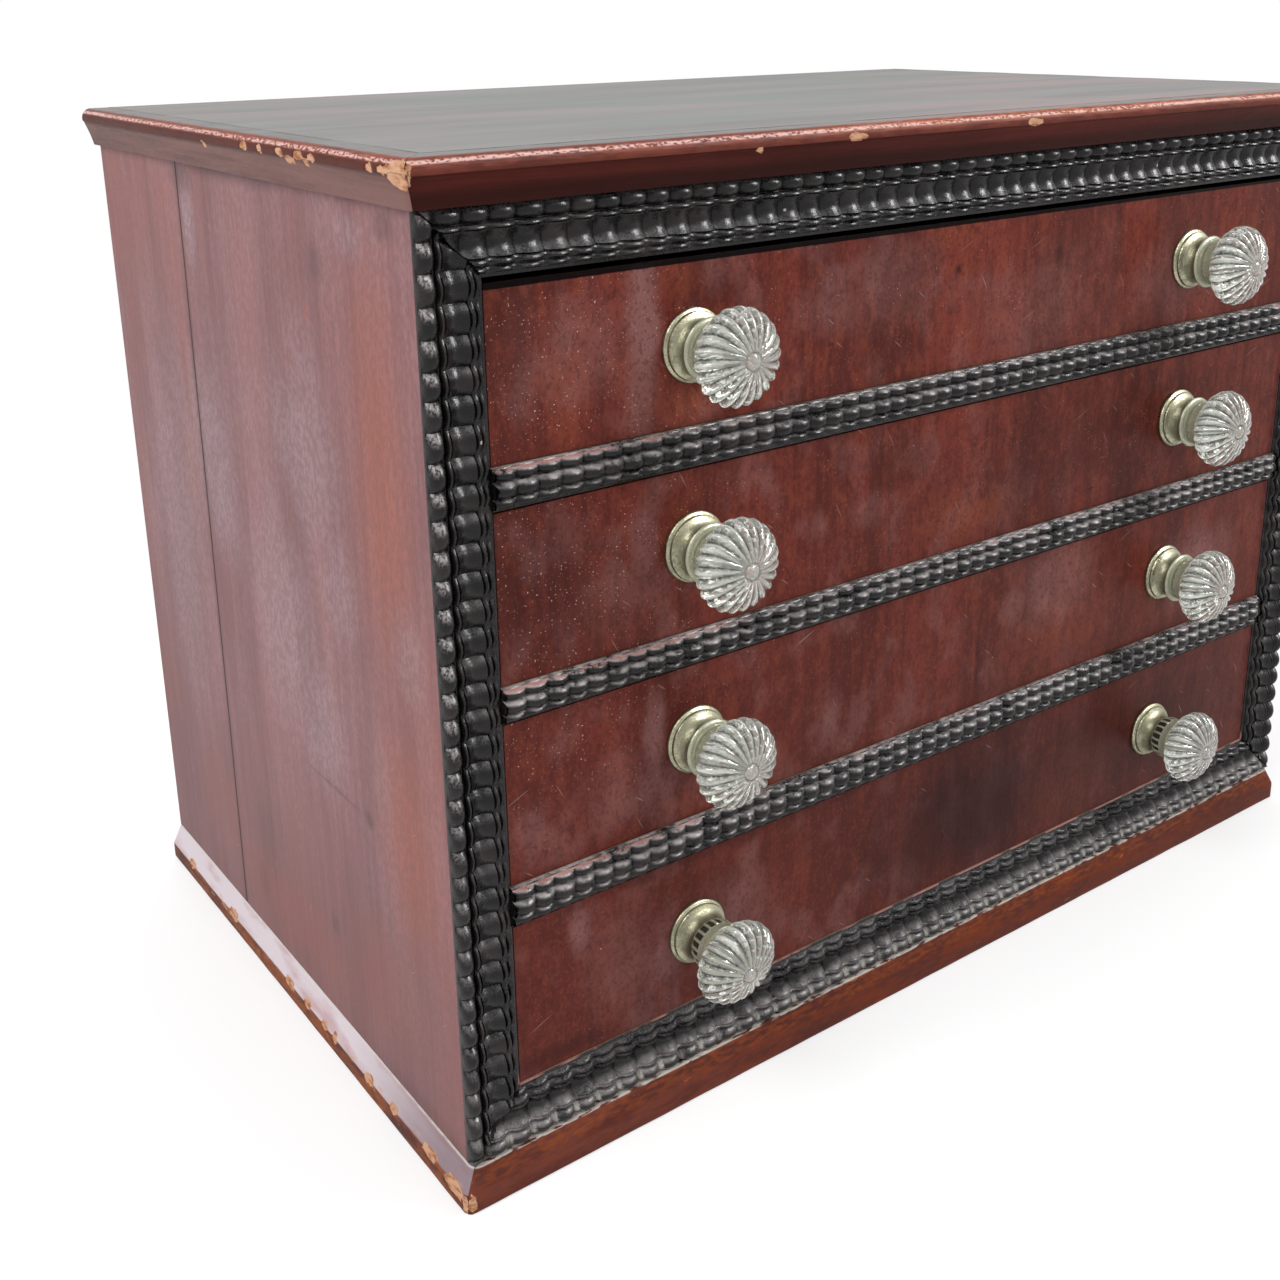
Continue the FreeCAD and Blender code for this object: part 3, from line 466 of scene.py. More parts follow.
def plinth_wood(name, grain, seed, front):
    """The plinth: mottled red brown in front, with painted light on its upper slope and a faint painted sheen
    at the left; at the sides a pale lavender slope of painted sky light over a worn brown edge.
    """
    m = Finish(name)
    fine = m.cloud(0.0016, along(grain, 3), 5, seed)
    broad = m.cloud(0.008, along(grain, 4), 5, seed + 1)
    mottle = m.step(fine * 0.45 + broad * 0.55, 0.38, 0.64)
    if front:
        m.base = m.blend("plinth_dark", "plinth", mottle)
        # Painted sheen: a faint haze at the left of the front.
        m.lay("front_haze", (1 - m.step(m.x, -0.2, -0.02)) * m.step(broad, 0.4, 0.6) * 0.1)
        # Painted light: the upper slope of the front goes warmer and lighter.
        m.lay("plinth_warm", m.step(m.z, 0.0085, 0.0125) * m.step(fine, 0.40, 0.68) * 0.5)
        m.lay("nose_rubbed", m.step(m.cloud(0.0028, along(grain, 4), 5, seed + 3), 0.68, 0.74) * 0.6)
        dust_line = m.step(m.z, 0.0160, 0.0167) * m.step(fine, 0.38, 0.52)
    else:
        # Painted sky light: the pale lavender of the sides' upward slope, darker mauve towards the front.
        slope = m.blend("slope", "slope_dark", m.step(broad, 0.45, 0.7))
        near_corner = 1 - m.step(m.y + 0.04 * (broad - 0.5), 0.0, 0.10)
        slope = m.blend(slope, "slope_corner", near_corner * 0.8)
        m.base = m.blend("plinth_warm", "plinth_dark", mottle)
        m.lay(slope, m.step(m.z + 0.0022 * (broad - 0.5), 0.0078, 0.0086))
        at_edge = m.step(m.z, 0.003, 0.006) * (1 - m.step(m.z, 0.0092, 0.0108))
        chipped = at_edge * m.step(m.cloud(0.0034, along(grain, 3.5), 5, seed + 3), 0.60, 0.66)
        m.lay("bare_wood", chipped * 0.6)
        dust_line = m.step(m.z, 0.0158, 0.0167) * (0.55 + 0.45 * m.step(fine, 0.40, 0.55))
    m.lay("dust", dust_line * 0.8)
    bare = bare_patches(m, grain, seed + 7)
    return m.close({"Roughness": 0.38 + 0.2 * fine + 0.25 * bare}, {"Specular IOR Level": 0.05},
                   (fine * 0.6 + broad * 0.5, 0.00035))


def ebonised(name, seed, narrow):
    """Black polish with a grey film of dust and painted sheen on what faces up, dust on the frame, scuffs and
    rubbed edges, and painted sheen on the strips' upward beads and low on the frame.
    """
    m = Finish(name)
    across, high, sunk = m.split(m.take("ShaderNodeAttribute", "Vector", {"attribute_name": "moulding"}))
    upward = m.split(m.take("ShaderNodeTexCoord", "Normal"))[2]
    worn = m.cloud(0.012, detail=5, seed=seed)
    fine = m.cloud(0.0008, detail=5, seed=seed + 1)
    m.base = m.blend("ebony", "ebony_rubbed", m.step(worn, 0.45, 0.72) * 0.8)
    # Grey on what faces up: a film of dust, and painted sheen for the light from above.
    film = m.step(upward, 0.15, 0.8) * m.step(fine * 0.5 + worn * 0.5, 0.36, 0.58)
    m.lay("ebony_dust_sheen", film * (0.95 if narrow else 0.7))
    if narrow:
        dust = 0.0
        left_end = 1 - m.step(m.x, -0.2, -0.1)
        soft = m.cloud(0.003, detail=3, seed=seed + 5)
        # Painted highlight: pale grey on the upward faces of the strips' beads.
        pale = m.step(upward, 0.35, 0.85) * m.step(soft * 0.6 + worn * 0.4 + 0.06 * left_end, 0.44, 0.62)
        m.lay("scuffs_and_sheen", pale * 0.7)
        arris = (1 - m.step(across, 0.0006, 0.0014)) * m.step(high, 0.0014, 0.0020)
        rubbed = arris * m.step(fine * 0.4 + worn * 0.6 + 0.16 * left_end, 0.56, 0.64)
    else:
        soft = m.cloud(0.005, detail=2, seed=seed + 5)
        # Painted sheen: pale grey on the upward faces low on the frame.
        grey = m.step(upward, 0.1, 0.8) * (1 - m.step(m.z, 0.024, 0.034)) * m.step(soft, 0.3, 0.65)
        m.lay("scuffs_and_sheen", grey * 0.32)
        crevice = m.step(sunk * 0.7 + fine * 0.5, 0.50, 0.80).most(1 - m.step(across, 0.0006, 0.0018))
        low_down = (1 - m.step(m.z, 0.0195, 0.0255)) * m.step(m.x, -0.238, -0.233)
        dust = crevice * low_down * (0.4 + 0.6 * m.step(worn, 0.36, 0.52))
        m.lay("dust", dust * 0.75)
        outer = (1 - m.step(m.x, -0.2412, -0.2385)) * (0.12 + 0.88 * m.step(m.z, 0.10, 0.22))
        scuffs = m.step(m.cloud(0.0008, along("Z", 1.5), 6, seed + 2), 0.40, 0.58)
        m.lay("scuffs_and_sheen", outer * m.step(upward, 0.0, 0.5) * scuffs * 0.45)
        rubbed = m.step(across, 0.0219, 0.0224) * (1 - m.step(m.z, 0.040, 0.046)) * m.step(worn, 0.60, 0.45)
    m.lay("arris", rubbed * 0.8)
    m.lay("scuffs_and_sheen", m.specks(0.014, 0.06, 0.35, seed + 3) * 0.9)
    return m.close({"Roughness": 0.15 + 0.10 * worn + 0.14 * fine + 0.3 * dust}, {"Specular IOR Level": 0.25},
                   (fine * 0.7 + worn, 0.0002))


def carcass_wood(grain, seed):
    """Plain softwood of the inside, brown with age."""
    m = Finish("softwood_" + grain.lower())
    bands = m.cloud(0.012, along(grain, 18), 4, seed)
    fibre = m.cloud(0.0008, along(grain, 30), 2, seed + 1)
    m.base = m.blend("softwood_dark", "softwood", m.step(bands * 0.75 + fibre * 0.25, 0.36, 0.64))
    grime = m.step(m.cloud(0.06, detail=5, seed=seed + 2), 0.5, 0.8)
    m.lay(colour("softwood_dark", 0.5), grime * 0.5)
    return m.close({"Roughness": 0.62 + 0.12 * fibre}, None, (fibre + bands, 0.0004))


def aged_brass(seed):
    """Brass gone olive and dull: brown in the dished neck, greenish on the ferrule, and painted shade, black,
    in its slots.
    """
    m = Finish("aged_brass_roses")
    forward = m.y * -1
    tarnish = m.cloud(0.005, detail=5, seed=seed)
    fine = m.cloud(0.0008, detail=3, seed=seed + 1)
    cover = m.step(tarnish * 0.6 + fine * 0.4, 0.40, 0.62)
    m.base = m.blend("brass", "brass_tarnished", cover * 0.75)
    neck = m.step(forward, 0.0034, 0.0046) * (1 - m.step(forward, 0.0080, 0.0092))
    m.lay("brass_neck", neck * 0.6)
    ferrule = m.step(forward, 0.0078, 0.0098)
    m.lay("brass_dull", ferrule * (0.5 + 0.3 * cover))
    # Painted shade: the slots are laid black, for the dark of open slots.
    slot = m.step(m.take("ShaderNodeAttribute", "Fac", {"attribute_name": "sunk"}), 0.25, 0.7)
    m.lay("ebony_rubbed", slot * 0.95)
    return m.close({"Roughness": 0.26 + 0.25 * cover + 0.1 * neck, "Metallic": 1 - 0.6 * ferrule}, None,
                   (fine, 0.00012))


def iron(seed):
    """Dark iron with a little rust."""
    m = Finish("iron_fixings")
    rust = m.step(m.cloud(0.003, detail=5, seed=seed), 0.45, 0.65)
    m.base = m.blend("iron", "rust", rust)
    return m.close({"Metallic": 0.9 - 0.8 * rust, "Roughness": 0.45 + 0.35 * rust}, None,
                   (m.cloud(0.001, detail=3, seed=seed + 1), 0.0002))


def pressed_glass(seed):
    """Pressed glass: near white along its lobes as a painted highlight, grey green beside them with the
    glass's tint and painted shade, and painted shade dark in the grooves.
    """
    m = Finish("pressed_glass_heads")
    sunk = m.take("ShaderNodeAttribute", "Fac", {"attribute_name": "sunk"})
    streak = m.cloud(0.0035, detail=3, seed=seed + 2)
    film = m.step(m.cloud(0.004, detail=4, seed=seed), 0.5, 0.8)
    # Painted light: white crests, grey green flanks and dark grooves.
    flank = m.step(sunk + 0.5 * (streak - 0.5), 0.06, 0.30) * (0.35 + 0.65 * m.step(streak, 0.62, 0.40))
    m.base = m.blend("glass", "glass_flank_shade", flank)
    m.lay("glass_groove_shade", m.step(sunk + 0.3 * (streak - 0.5), 0.46, 0.85) * 0.9)
    m.lay("glass_dirt", film * 0.12)
    return m.close({"Roughness": 0.02 + 0.03 * film},
                   {"Transmission Weight": 0.84, "IOR": 1.5, "Specular IOR Level": 0.5},
                   (m.cloud(0.0022, detail=2, seed=seed + 1), 0.00025))


# Sections, as points (across, height, floor of the ripple) in millimetres
def bead(low, high, foot, crest, ground, steps):
    """A half-round bead from low to high across."""
    angles = [math.pi * step / steps for step in range(steps + 1)]
    return [(low + (high - low) * (1 - math.cos(angle)) / 2, foot + (crest - foot) * math.sin(angle), ground)
            for angle in angles]


def hollow(low, high, first, last, sag, ground, steps=12):
    """A hollow from low to high across, between two edge heights."""
    points = []
    for step in range(steps + 1):
        share = step / steps
        line = first + (last - first) * share
        points.append((low + (high - low) * share, line - sag * math.sin(math.pi * share), ground))
    return points


def frame_section(width):
    """The wide frame's section: bead, thin bead, hollow and a pair of fine beads."""
    return ([(0, 1.3, 1.2)]
            + bead(0.05, 5.7, 1.7, 5.5, 1.4, 14)
            + [(5.95, 1.6, 1.5)]
            + bead(6.2, 7.7, 3.2, 4.8, 2.7, 6)
            + hollow(8.0, 16.1, 4.4, 4.3, 2.2, 0.3)
            + [(16.35, 1.4, 1.2)]
            + bead(16.7, 18.9, 2.3, 4.2, 2.2, 6)
            + [(19.15, 1.2, 1.1)]
            + bead(19.4, 21.4, 1.5, 3.0, 1.3, 6)
            + [(21.6, 0.8, 0.7), (width, 0.5, 0.4), (width, 0, 0), (0, 0, 0)])


def rail_section(width):
    """The narrow strips' section: two beads and a thin lower one."""
    one, two, three = 0.30 * width, 0.70 * width, 0.94 * width
    return ([(0, 1.6, 1.5)]
            + bead(0.03 * width, one - 0.25, 1.9, 4.3, 1.7, 10)
            + [(one - 0.1, 1.2, 1.1), (one + 0.3, 1.2, 1.1)]
            + bead(one + 0.45, two - 0.1, 2.0, 4.9, 1.8, 12)
            + [(two + 0.05, 1.2, 1.1), (two + 0.3, 1.2, 1.1)]
            + bead(two + 0.4, three, 1.8, 3.5, 1.7, 6)
            + [(three + 0.2, 1.1, 1.0), (width, 0.8, 0.7), (width, 0, 0), (0, 0, 0)])


def arc(across, high, radius, first, last, steps):
    """Points of an arc, its angles in degrees from the across direction."""
    angles = [math.radians(first + (last - first) * step / steps) for step in range(steps + 1)]
    return [(across + radius * math.cos(angle), high + radius * math.sin(angle), 0) for angle in angles]


def edge_section(width, thick):
    """The top's edge moulding, as drops below the top: a round nose over a cove."""
    nose, step, cove, reach = 4.2, 0.6, 5.6, 3.9
    points = [(width, thick, 0), (width, 0, 0)] + [(width - 1.3 * k, 0, 0) for k in range(1, 6)]
    points += arc(nose, nose, nose, 270, 180, 12)
    points += [(0, cove - 0.7, 0), (0.15, cove - 0.25, 0), (step, cove, 0)]
    count = 12
    for k in range(1, count + 1):
        share = k / count
        swell = 0.55 * math.sin(math.pi * share)
        points.append((step + (reach - step) * share ** 1.25 + swell * 0.9, cove + (thick - cove) * share, 0))
    return points


def plinth_section(width, high, drop, slope):
    """The plinth's section, as drops below its upper edge, with an eased arris at the foot of the slope."""
    ease = 0.9
    points = [(width, high, 0), (width, 0, 0)]
    points += [(width + (slope - width) * k / 8, 0, 0) for k in range(1, 8)]
    points += [(slope + 0.5, 0, 0), (slope + 0.1, 0.12, 0), (slope - 0.15, 0.5, 0)]
    points += [(slope * (1 - share), drop * share, 0) for share in (0.12, 0.3, 0.5, 0.7, 0.88)]
    points += [(0.04, drop - ease * 0.3, 0), (0, drop + ease, 0)]
    points += [(0, drop + (high - drop) * share, 0) for share in (0.3, 0.5, 0.7, 0.9)]
    points += [(0.2, high - 0.15, 0), (0.5, high, 0)]
    points += [(width * k / 8, high, 0) for k in range(1, 8)]
    return points


# Geometry Nodes
SEAM_REACH = 2e-6


def new_tree(name, inputs):
    """A Geometry Nodes tree with a section for input, named values and one shape for output."""
    tree = bpy.data.node_groups.new(name, "GeometryNodeTree")
    tree.interface.new_socket("Section", in_out="INPUT", socket_type="NodeSocketGeometry")
    for label, kind, default in inputs:
        socket = tree.interface.new_socket(label, in_out="INPUT", socket_type="NodeSocket" + kind)
        if default is not None:
            socket.default_value = default
    tree.interface.new_socket("Shape", in_out="OUTPUT", socket_type="NodeSocketGeometry")
    bench = Bench(tree)
    given = bench.node("NodeGroupInput")
    return bench, lambda label: bench.wire(given, label)


def swept_section(bench, given, path, value, caps):
    """The section swept along a path: its mesh, the value kept along the path and the parts of its points."""
    path_held = bench.node("GeometryNodeCaptureAttribute", {"captures": [("FLOAT", "Kept")]}, {
        "Geometry": path, "Kept": value})
    section_held = bench.node("GeometryNodeCaptureAttribute", {"captures": [("VECTOR", "Point")]}, {
        "Geometry": given("Section"), "Point": bench.take("GeometryNodeInputPosition", "Position")})
    swept = bench.take("GeometryNodeCurveToMesh", "Mesh", None, {
        "Curve": bench.wire(path_held, "Geometry"), "Profile Curve": bench.wire(section_held, "Geometry"),
        "Fill Caps": caps})
    return swept, bench.wire(path_held, "Kept"), bench.split(bench.wire(section_held, "Point"))


def shaped(bench, swept, place, label, kind, value):
    """The swept mesh with its points in their places, a named value kept on them, and its seams closed."""
    placed = bench.take("GeometryNodeSetPosition", "Geometry", None, {"Geometry": swept, "Position": place})
    noted = bench.take("GeometryNodeStoreNamedAttribute", "Geometry", {
        "data_type": kind, "domain": "POINT"}, {"Geometry": placed, "Name": label, "Value": value})
    return bench.take("GeometryNodeMergeByDistance", "Geometry", None, {
        "Geometry": noted, "Distance": SEAM_REACH})


def end_tree(bench, shape, given, sharp=34):
    """Smooth faces with sharp creases, then real geometry with its material."""
    smooth = bench.take("GeometryNodeSetShadeSmooth", "Geometry", {"domain": "FACE"}, {
        "Geometry": shape, "Shade Smooth": True})
    angle = bench.take("GeometryNodeInputMeshEdgeAngle", "Unsigned Angle")
    crease = angle.sum("GREATER_THAN", math.radians(sharp))
    creased = bench.take("GeometryNodeSetShadeSmooth", "Geometry", {"domain": "EDGE"}, {
        "Geometry": smooth, "Selection": crease, "Shade Smooth": False})
    real = bench.take("GeometryNodeRealizeInstances", "Geometry", None, {"Geometry": creased})
    done = bench.take("GeometryNodeSetMaterial", "Geometry", None, {
        "Geometry": real, "Material": given("Material")})
    bench.node("NodeGroupOutput", {"is_active_output": True}, {"Shape": done})
    return bench.tree


def moulding_tree():
    """A section run along X, rippled by depth, mitred at its ends, turned and put in its place."""
    bench, given = new_tree("moulding", [
        ("Length", "Float", 0.4), ("Pitch", "Float", 0.01), ("Steps", "Int", 12),
        ("Ripple Depth", "Float", 0.0), ("Roundness", "Float", 0.8), ("Wander", "Float", 0.0),
        ("Start Mitre", "Float", 0.0), ("End Mitre", "Float", 0.0), ("Joint Gap", "Float", 0.0),
        ("Turn", "Rotation", None), ("Place", "Vector", (0, 0, 0)), ("Seed", "Int", 0),
        ("Material", "Material", None)])
    half = given("Length") / 2
    ripples = (half / given("Pitch")).sum("CEIL")
    line = bench.take("GeometryNodeCurvePrimitiveLine", "Curve", None, {"End": (1.0, 0.0, 0.0)})
    path = bench.take("GeometryNodeResampleCurve", "Curve", {"mode": "COUNT"}, {
        "Curve": line, "Count": ripples * 2 * given("Steps") + 1})
    factor = bench.take("GeometryNodeSplineParameter", "Factor")
    swept, phase, point = swept_section(bench, given, path, (factor - 0.5) * 2 * ripples, True)
    across, high, ground = point
    chance = bench.take("FunctionNodeRandomValue", "Value_001", {"data_type": "FLOAT"}, {
        "Min_001": -1.0, "Max_001": 1.0, "ID": (phase + 0.5).sum("FLOOR"), "Seed": given("Seed")})
    drift = bench.take("ShaderNodeTexNoise", "Fac", {"noise_dimensions": "1D"}, {
        "W": phase * 0.35 + given("Seed") * 7.3, "Scale": 1.0, "Detail": 1.0})
    start = given("Joint Gap") + given("Start Mitre") * across - half
    end = half - given("Joint Gap") - given("End Mitre") * across
    x = (phase * given("Pitch") + (drift - 0.5) * given("Wander")).most(start).least(end)
    valley = 1 - ((phase * math.pi).sum("COSINE").size()) ** given("Roundness")
    sunk = high - given("Ripple Depth") * (1 + 0.12 * chance) * valley
    raised = sunk.most(ground).least(high)
    merged = shaped(bench, swept, bench.joined(x, raised * -1, across * -1), "moulding", "FLOAT_VECTOR",
                    bench.joined(across, raised, valley))
    stood = bench.take("GeometryNodeTransform", "Geometry", None, {
        "Geometry": merged, "Translation": given("Place"), "Rotation": given("Turn")})
    return end_tree(bench, stood, given)


def turned_tree():
    """A section turned about a knob's axis and cut round into lobes or slots, on both ends of a drawer."""
    bench, given = new_tree("turned_work", [
        ("Segments", "Int", 128), ("Repeats", "Int", 1), ("Cut", "Float", 0.0),
        ("Squareness", "Float", 0.0), ("Roundness", "Float", 0.85), ("Swirl", "Float", 0.0),
        ("Seat", "Float", 0.0), ("Length", "Float", 0.02), ("Left Turn", "Rotation", None),
        ("Left Place", "Vector", (0, 0, 0)), ("Right Turn", "Rotation", None),
        ("Right Place", "Vector", (0, 0, 0)), ("Material", "Material", None)])
    circle = bench.take("GeometryNodeCurvePrimitiveCircle", "Curve", None, {
        "Resolution": given("Segments"), "Radius": 1.0})
    factor = bench.take("GeometryNodeSplineParameter", "Factor")
    swept, turned, point = swept_section(bench, given, circle, factor * (2 * math.pi), False)
    radius, forward, cut_share = point
    along_axis = ((forward - given("Seat")) / given("Length")).clamped()
    wave = ((turned + given("Swirl") * along_axis) * given("Repeats") / 2).sum("COSINE").size()
    lobes = 1 - wave ** given("Roundness")
    cut = lobes + (bench.step(wave, 0.42, 0.55) - lobes) * given("Squareness")
    sunk = cut * cut_share * (1 / MM)
    reach = radius - given("Cut") * sunk
    place = bench.joined(turned.sum("COSINE") * reach, forward * -1, turned.sum("SINE") * reach)
    merged = shaped(bench, swept, place, "sunk", "FLOAT", sunk)
    joined = bench.node("GeometryNodeJoinGeometry")
    for side in ("Left", "Right"):
        stood = bench.take("GeometryNodeTransform", "Geometry", None, {
            "Geometry": merged, "Translation": given(side + " Place"), "Rotation": given(side + " Turn")})
        bench.tree.links.new(stood.socket, joined.inputs["Geometry"])
    return end_tree(bench, bench.wire(joined, "Geometry"), given, 40)


def linked(name, data):
    """A new object in the scene, at the origin."""
    made = bpy.data.objects.new(name, data)
    bpy.context.scene.collection.objects.link(made)
    return made


def frozen(rough, keep_values):
    """The plain mesh of an object with its modifiers, and the values kept on it if asked; the object goes."""
    bpy.context.view_layer.update()
    whole = rough.evaluated_get(bpy.context.evaluated_depsgraph_get())
    mesh = bpy.data.meshes.new_from_object(whole, preserve_all_data_layers=keep_values)
    bpy.data.objects.remove(rough)
    return mesh


def grown(name, tree, points, values, closed=True):
    """A piece that the tree makes from a section's points, in millimetres, and from its named values."""
    curve = bpy.data.curves.new("section", "CURVE")
    curve.dimensions = "3D"
    spline = curve.splines.new("POLY")
    spline.points.add(len(points) - 1)
    for point, place in zip(spline.points, points):
        point.co = (*(value * MM for value in place), 1.0)
    spline.use_cyclic_u = closed
    section = linked("section", curve)
    grower = section.modifiers.new("shape", "NODES")
    grower.node_group = tree
    for item in tree.interface.items_tree:
        if item.item_type == "SOCKET" and item.in_out == "INPUT" and item.name in values:
            grower[item.identifier] = values[item.name]
    section.update_tag()
    mesh = frozen(section, True)
    if not mesh.polygons:
        raise RuntimeError("%s came out with no faces" % name)
    mesh.name = name
    work = bmesh.new()
    work.from_mesh(mesh)
    bmesh.ops.recalc_face_normals(work, faces=work.faces)
    work.to_mesh(mesh)
    work.free()
    return linked(name, mesh)


def settle(piece, body, node):
    """The piece rides on its body and stands for its node, which is hidden."""
    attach(piece, body)
    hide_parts(node)


def dress(node, finish):
    """Gives a node of the frame its finish."""
    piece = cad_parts[node]
    if not piece.material_slots:
        piece.data.materials.append(finish)
    for held in piece.material_slots:
        held.material = finish


def eased(node, radius, finish, body):
    """A copy of a node with its arrises eased, as hand work and wear leave them."""
    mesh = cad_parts[node].data.copy()
    work = bmesh.new()
    work.from_mesh(mesh)
    bmesh.ops.remove_doubles(work, verts=work.verts, dist=1e-6)
    bmesh.ops.dissolve_limit(work, angle_limit=math.radians(0.5), verts=work.verts, edges=work.edges)
    work.to_mesh(mesh)
    work.free()
    rough = linked(node + "_rough", mesh)
    bevel = rough.modifiers.new("ease", "BEVEL")
    bevel.width = radius
    bevel.segments = 3
    bevel.limit_method = "ANGLE"
    bevel.angle_limit = math.radians(30)
    bevel.harden_normals = True
    done = frozen(rough, False)
    done.materials.clear()
    done.materials.append(finish)
    settle(linked("eased_" + node, done), body, node)


# Sizes and colours
def size_value(name, description, default, low=0.0, high=1.0):
    return bpy.props.FloatProperty(name=name, description=description, default=default, min=low, max=high,
                                   precision=5, subtype="DISTANCE", unit="LENGTH")


def share_value(name, description, default, low=0.0, high=10.0):
    return bpy.props.FloatProperty(name=name, description=description, default=default, min=low, max=high)


def angle_value(name, description, degrees):
    return bpy.props.FloatProperty(name=name, description=description, default=math.radians(degrees),
                                   subtype="ANGLE", unit="ROTATION")


def count_value(name, description, default):
    return bpy.props.IntProperty(name=name, description=description, default=default, min=1)


def colour_value(name, description, default):
    return bpy.props.FloatVectorProperty(name=name, description=description, default=default, size=3,
                                         min=0.0, max=1.0, subtype="COLOR")


class ChestColours(bpy.types.PropertyGroup):
    """Colours of the finishes."""
    front: colour_value("Drawer fronts", "Dark red mahogany", (0.141, 0.028, 0.019))
    front_dark: colour_value("Dark fronts", "Their dark bands", (0.060, 0.014, 0.011))
    front_warm: colour_value("Warm fronts", "Their orange patches", (0.180, 0.044, 0.022))
    front_haze: colour_value("Hazy fronts", "Where the polish has bloomed", (0.215, 0.105, 0.100))
    stain: colour_value("Stains", "Dark stains and open joints", (0.012, 0.005, 0.005))
    pale_mark: colour_value("Marks", "Specks and scratches", (0.56, 0.43, 0.39))
    side: colour_value("Sides", "Faded red of the sides", (0.235, 0.107, 0.108))
    side_dark: colour_value("Dark sides", "Their darker grain", (0.110, 0.042, 0.045))
    side_warm: colour_value("Warm sides", "Their orange places", (0.265, 0.075, 0.040))
    side_haze: colour_value("Hazy sides", "The mauve bloom on them", (0.290, 0.225, 0.250))
    # Brown of the side stains and of the painted shadow under the top's edge.
    side_stain: colour_value("Side stains", "Brown stains on the sides", (0.055, 0.027, 0.026))
    top: colour_value("Top", "Faded grey of the top", (0.155, 0.150, 0.145))
    top_dark: colour_value("Dark top", "Its darker grain", (0.110, 0.106, 0.102))
    top_rosy: colour_value("Rosy top", "Its rosy streaks", (0.182, 0.140, 0.135))
    top_green: colour_value("Greenish top", "Its greenish streaks", (0.117, 0.136, 0.127))
    top_mark: colour_value("Top marks", "Scratches on the top", (0.40, 0.39, 0.37))
    nose: colour_value("Nose", "Rubbed red of the top's nose", (0.185, 0.048, 0.030))
    nose_dark: colour_value("Dark nose", "Its darker places", (0.085, 0.022, 0.016))
    # Pale line along the nose: wear and a painted highlight.
    nose_wear_highlight: colour_value("Pale line", "The worn line along the nose", (0.60, 0.38, 0.345))
    nose_rubbed: colour_value("Salmon wood", "Wood rubbed through the polish", (0.36, 0.115, 0.050))
    # Painted shade: the front cove's colour is darkened for the shade under the nose.
    cove: colour_value("Cove", "Dark hollow under the nose in front", (0.072, 0.0125, 0.0085))
    # Painted shade under the nose and low in the cove, not grain.
    cove_shade: colour_value("Dark cove", "Its darker grain", (0.016, 0.004, 0.003))
    cove_side: colour_value("Side cove", "The hollow at the sides", (0.165, 0.085, 0.076))
    plinth: colour_value("Plinth", "Red brown of the plinth", (0.130, 0.026, 0.010))
    plinth_dark: colour_value("Dark plinth", "Its darker mottles", (0.072, 0.020, 0.015))
    # Also the painted light on the front's upper slope.
    plinth_warm: colour_value("Warm plinth", "Its orange brown edge", (0.21, 0.056, 0.014))
    # Pale lavender of painted sky light on the sides' upward slope.
    slope: colour_value("Plinth slope", "Lavender slope at the sides", (0.53, 0.47, 0.50))
    slope_dark: colour_value("Dark slope", "Its darker mottles", (0.42, 0.30, 0.31))
    slope_corner: colour_value("Slope at the corner", "Dark mauve end of the slope", (0.140, 0.085, 0.100))
    bare_wood: colour_value("Bare wood", "Wood in chips and worn corners", (0.47, 0.27, 0.17))
    bare_wood_dark: colour_value("Dark bare wood", "Its dirty grain", (0.27, 0.11, 0.05))
    ebony: colour_value("Ebonised wood", "Black polish", (0.0055, 0.0045, 0.0048))
    ebony_rubbed: colour_value("Rubbed ebonised wood", "Where the black has gone thin", (0.020, 0.014, 0.014))
    # Grey of dust and painted sheen on what faces up.
    ebony_dust_sheen: colour_value("Film on the black", "Grey film on what faces up", (0.115, 0.110, 0.110))
    # Pale scuffs, and also the painted sheen on upward faces of the strips and of the low frame.
    scuffs_and_sheen: colour_value("Scuffed black", "Pale scuffs of the outer beads", (0.42, 0.375, 0.37))
    arris: colour_value("Rubbed arris", "Red wood at the rubbed edges", (0.36, 0.17, 0.15))
    dust: colour_value("Dust", "Old dust and wax in the hollows", (0.52, 0.50, 0.46))
    # Black of the painted shadow along the first drawer's upper edge.
    painted_shadow: colour_value("Painted shadow", "Shadowy upper edge of the first drawer", (0.0, 0.0, 0.0))
    softwood: colour_value("Softwood", "Inside of the case and drawers", (0.36, 0.21, 0.11))
    softwood_dark: colour_value("Dark softwood", "Its darker grain", (0.20, 0.105, 0.05))
    brass: colour_value("Brass", "Rubbed brass", (0.41, 0.395, 0.28))
    brass_tarnished: colour_value("Tarnished brass", "Dull brass", (0.19, 0.187, 0.122))
    brass_dull: colour_value("Dull ferrule", "Greenish grey of the ferrule", (0.300, 0.310, 0.230))
    brass_neck: colour_value("Brass neck", "Brown hollow of the rose", (0.115, 0.11, 0.068))
    # The glass colours paint light: white crests as highlights, the flanks and the grooves as shade.
    glass: colour_value("Glass", "Silvery glass", (0.97, 0.98, 0.93))
    glass_flank_shade: colour_value("Glass flanks", "Grey green beside the crests of the lobes", (0.50, 0.53, 0.46))
    glass_groove_shade: colour_value("Glass grooves", "Grey between the lobes", (0.06, 0.066, 0.056))
    glass_dirt: colour_value("Dirty glass", "Film on the glass", (0.62, 0.60, 0.52))
    iron: colour_value("Iron", "Nails and screws", (0.12, 0.12, 0.12))
    rust: colour_value("Rust", "Rust on the iron", (0.16, 0.06, 0.025))


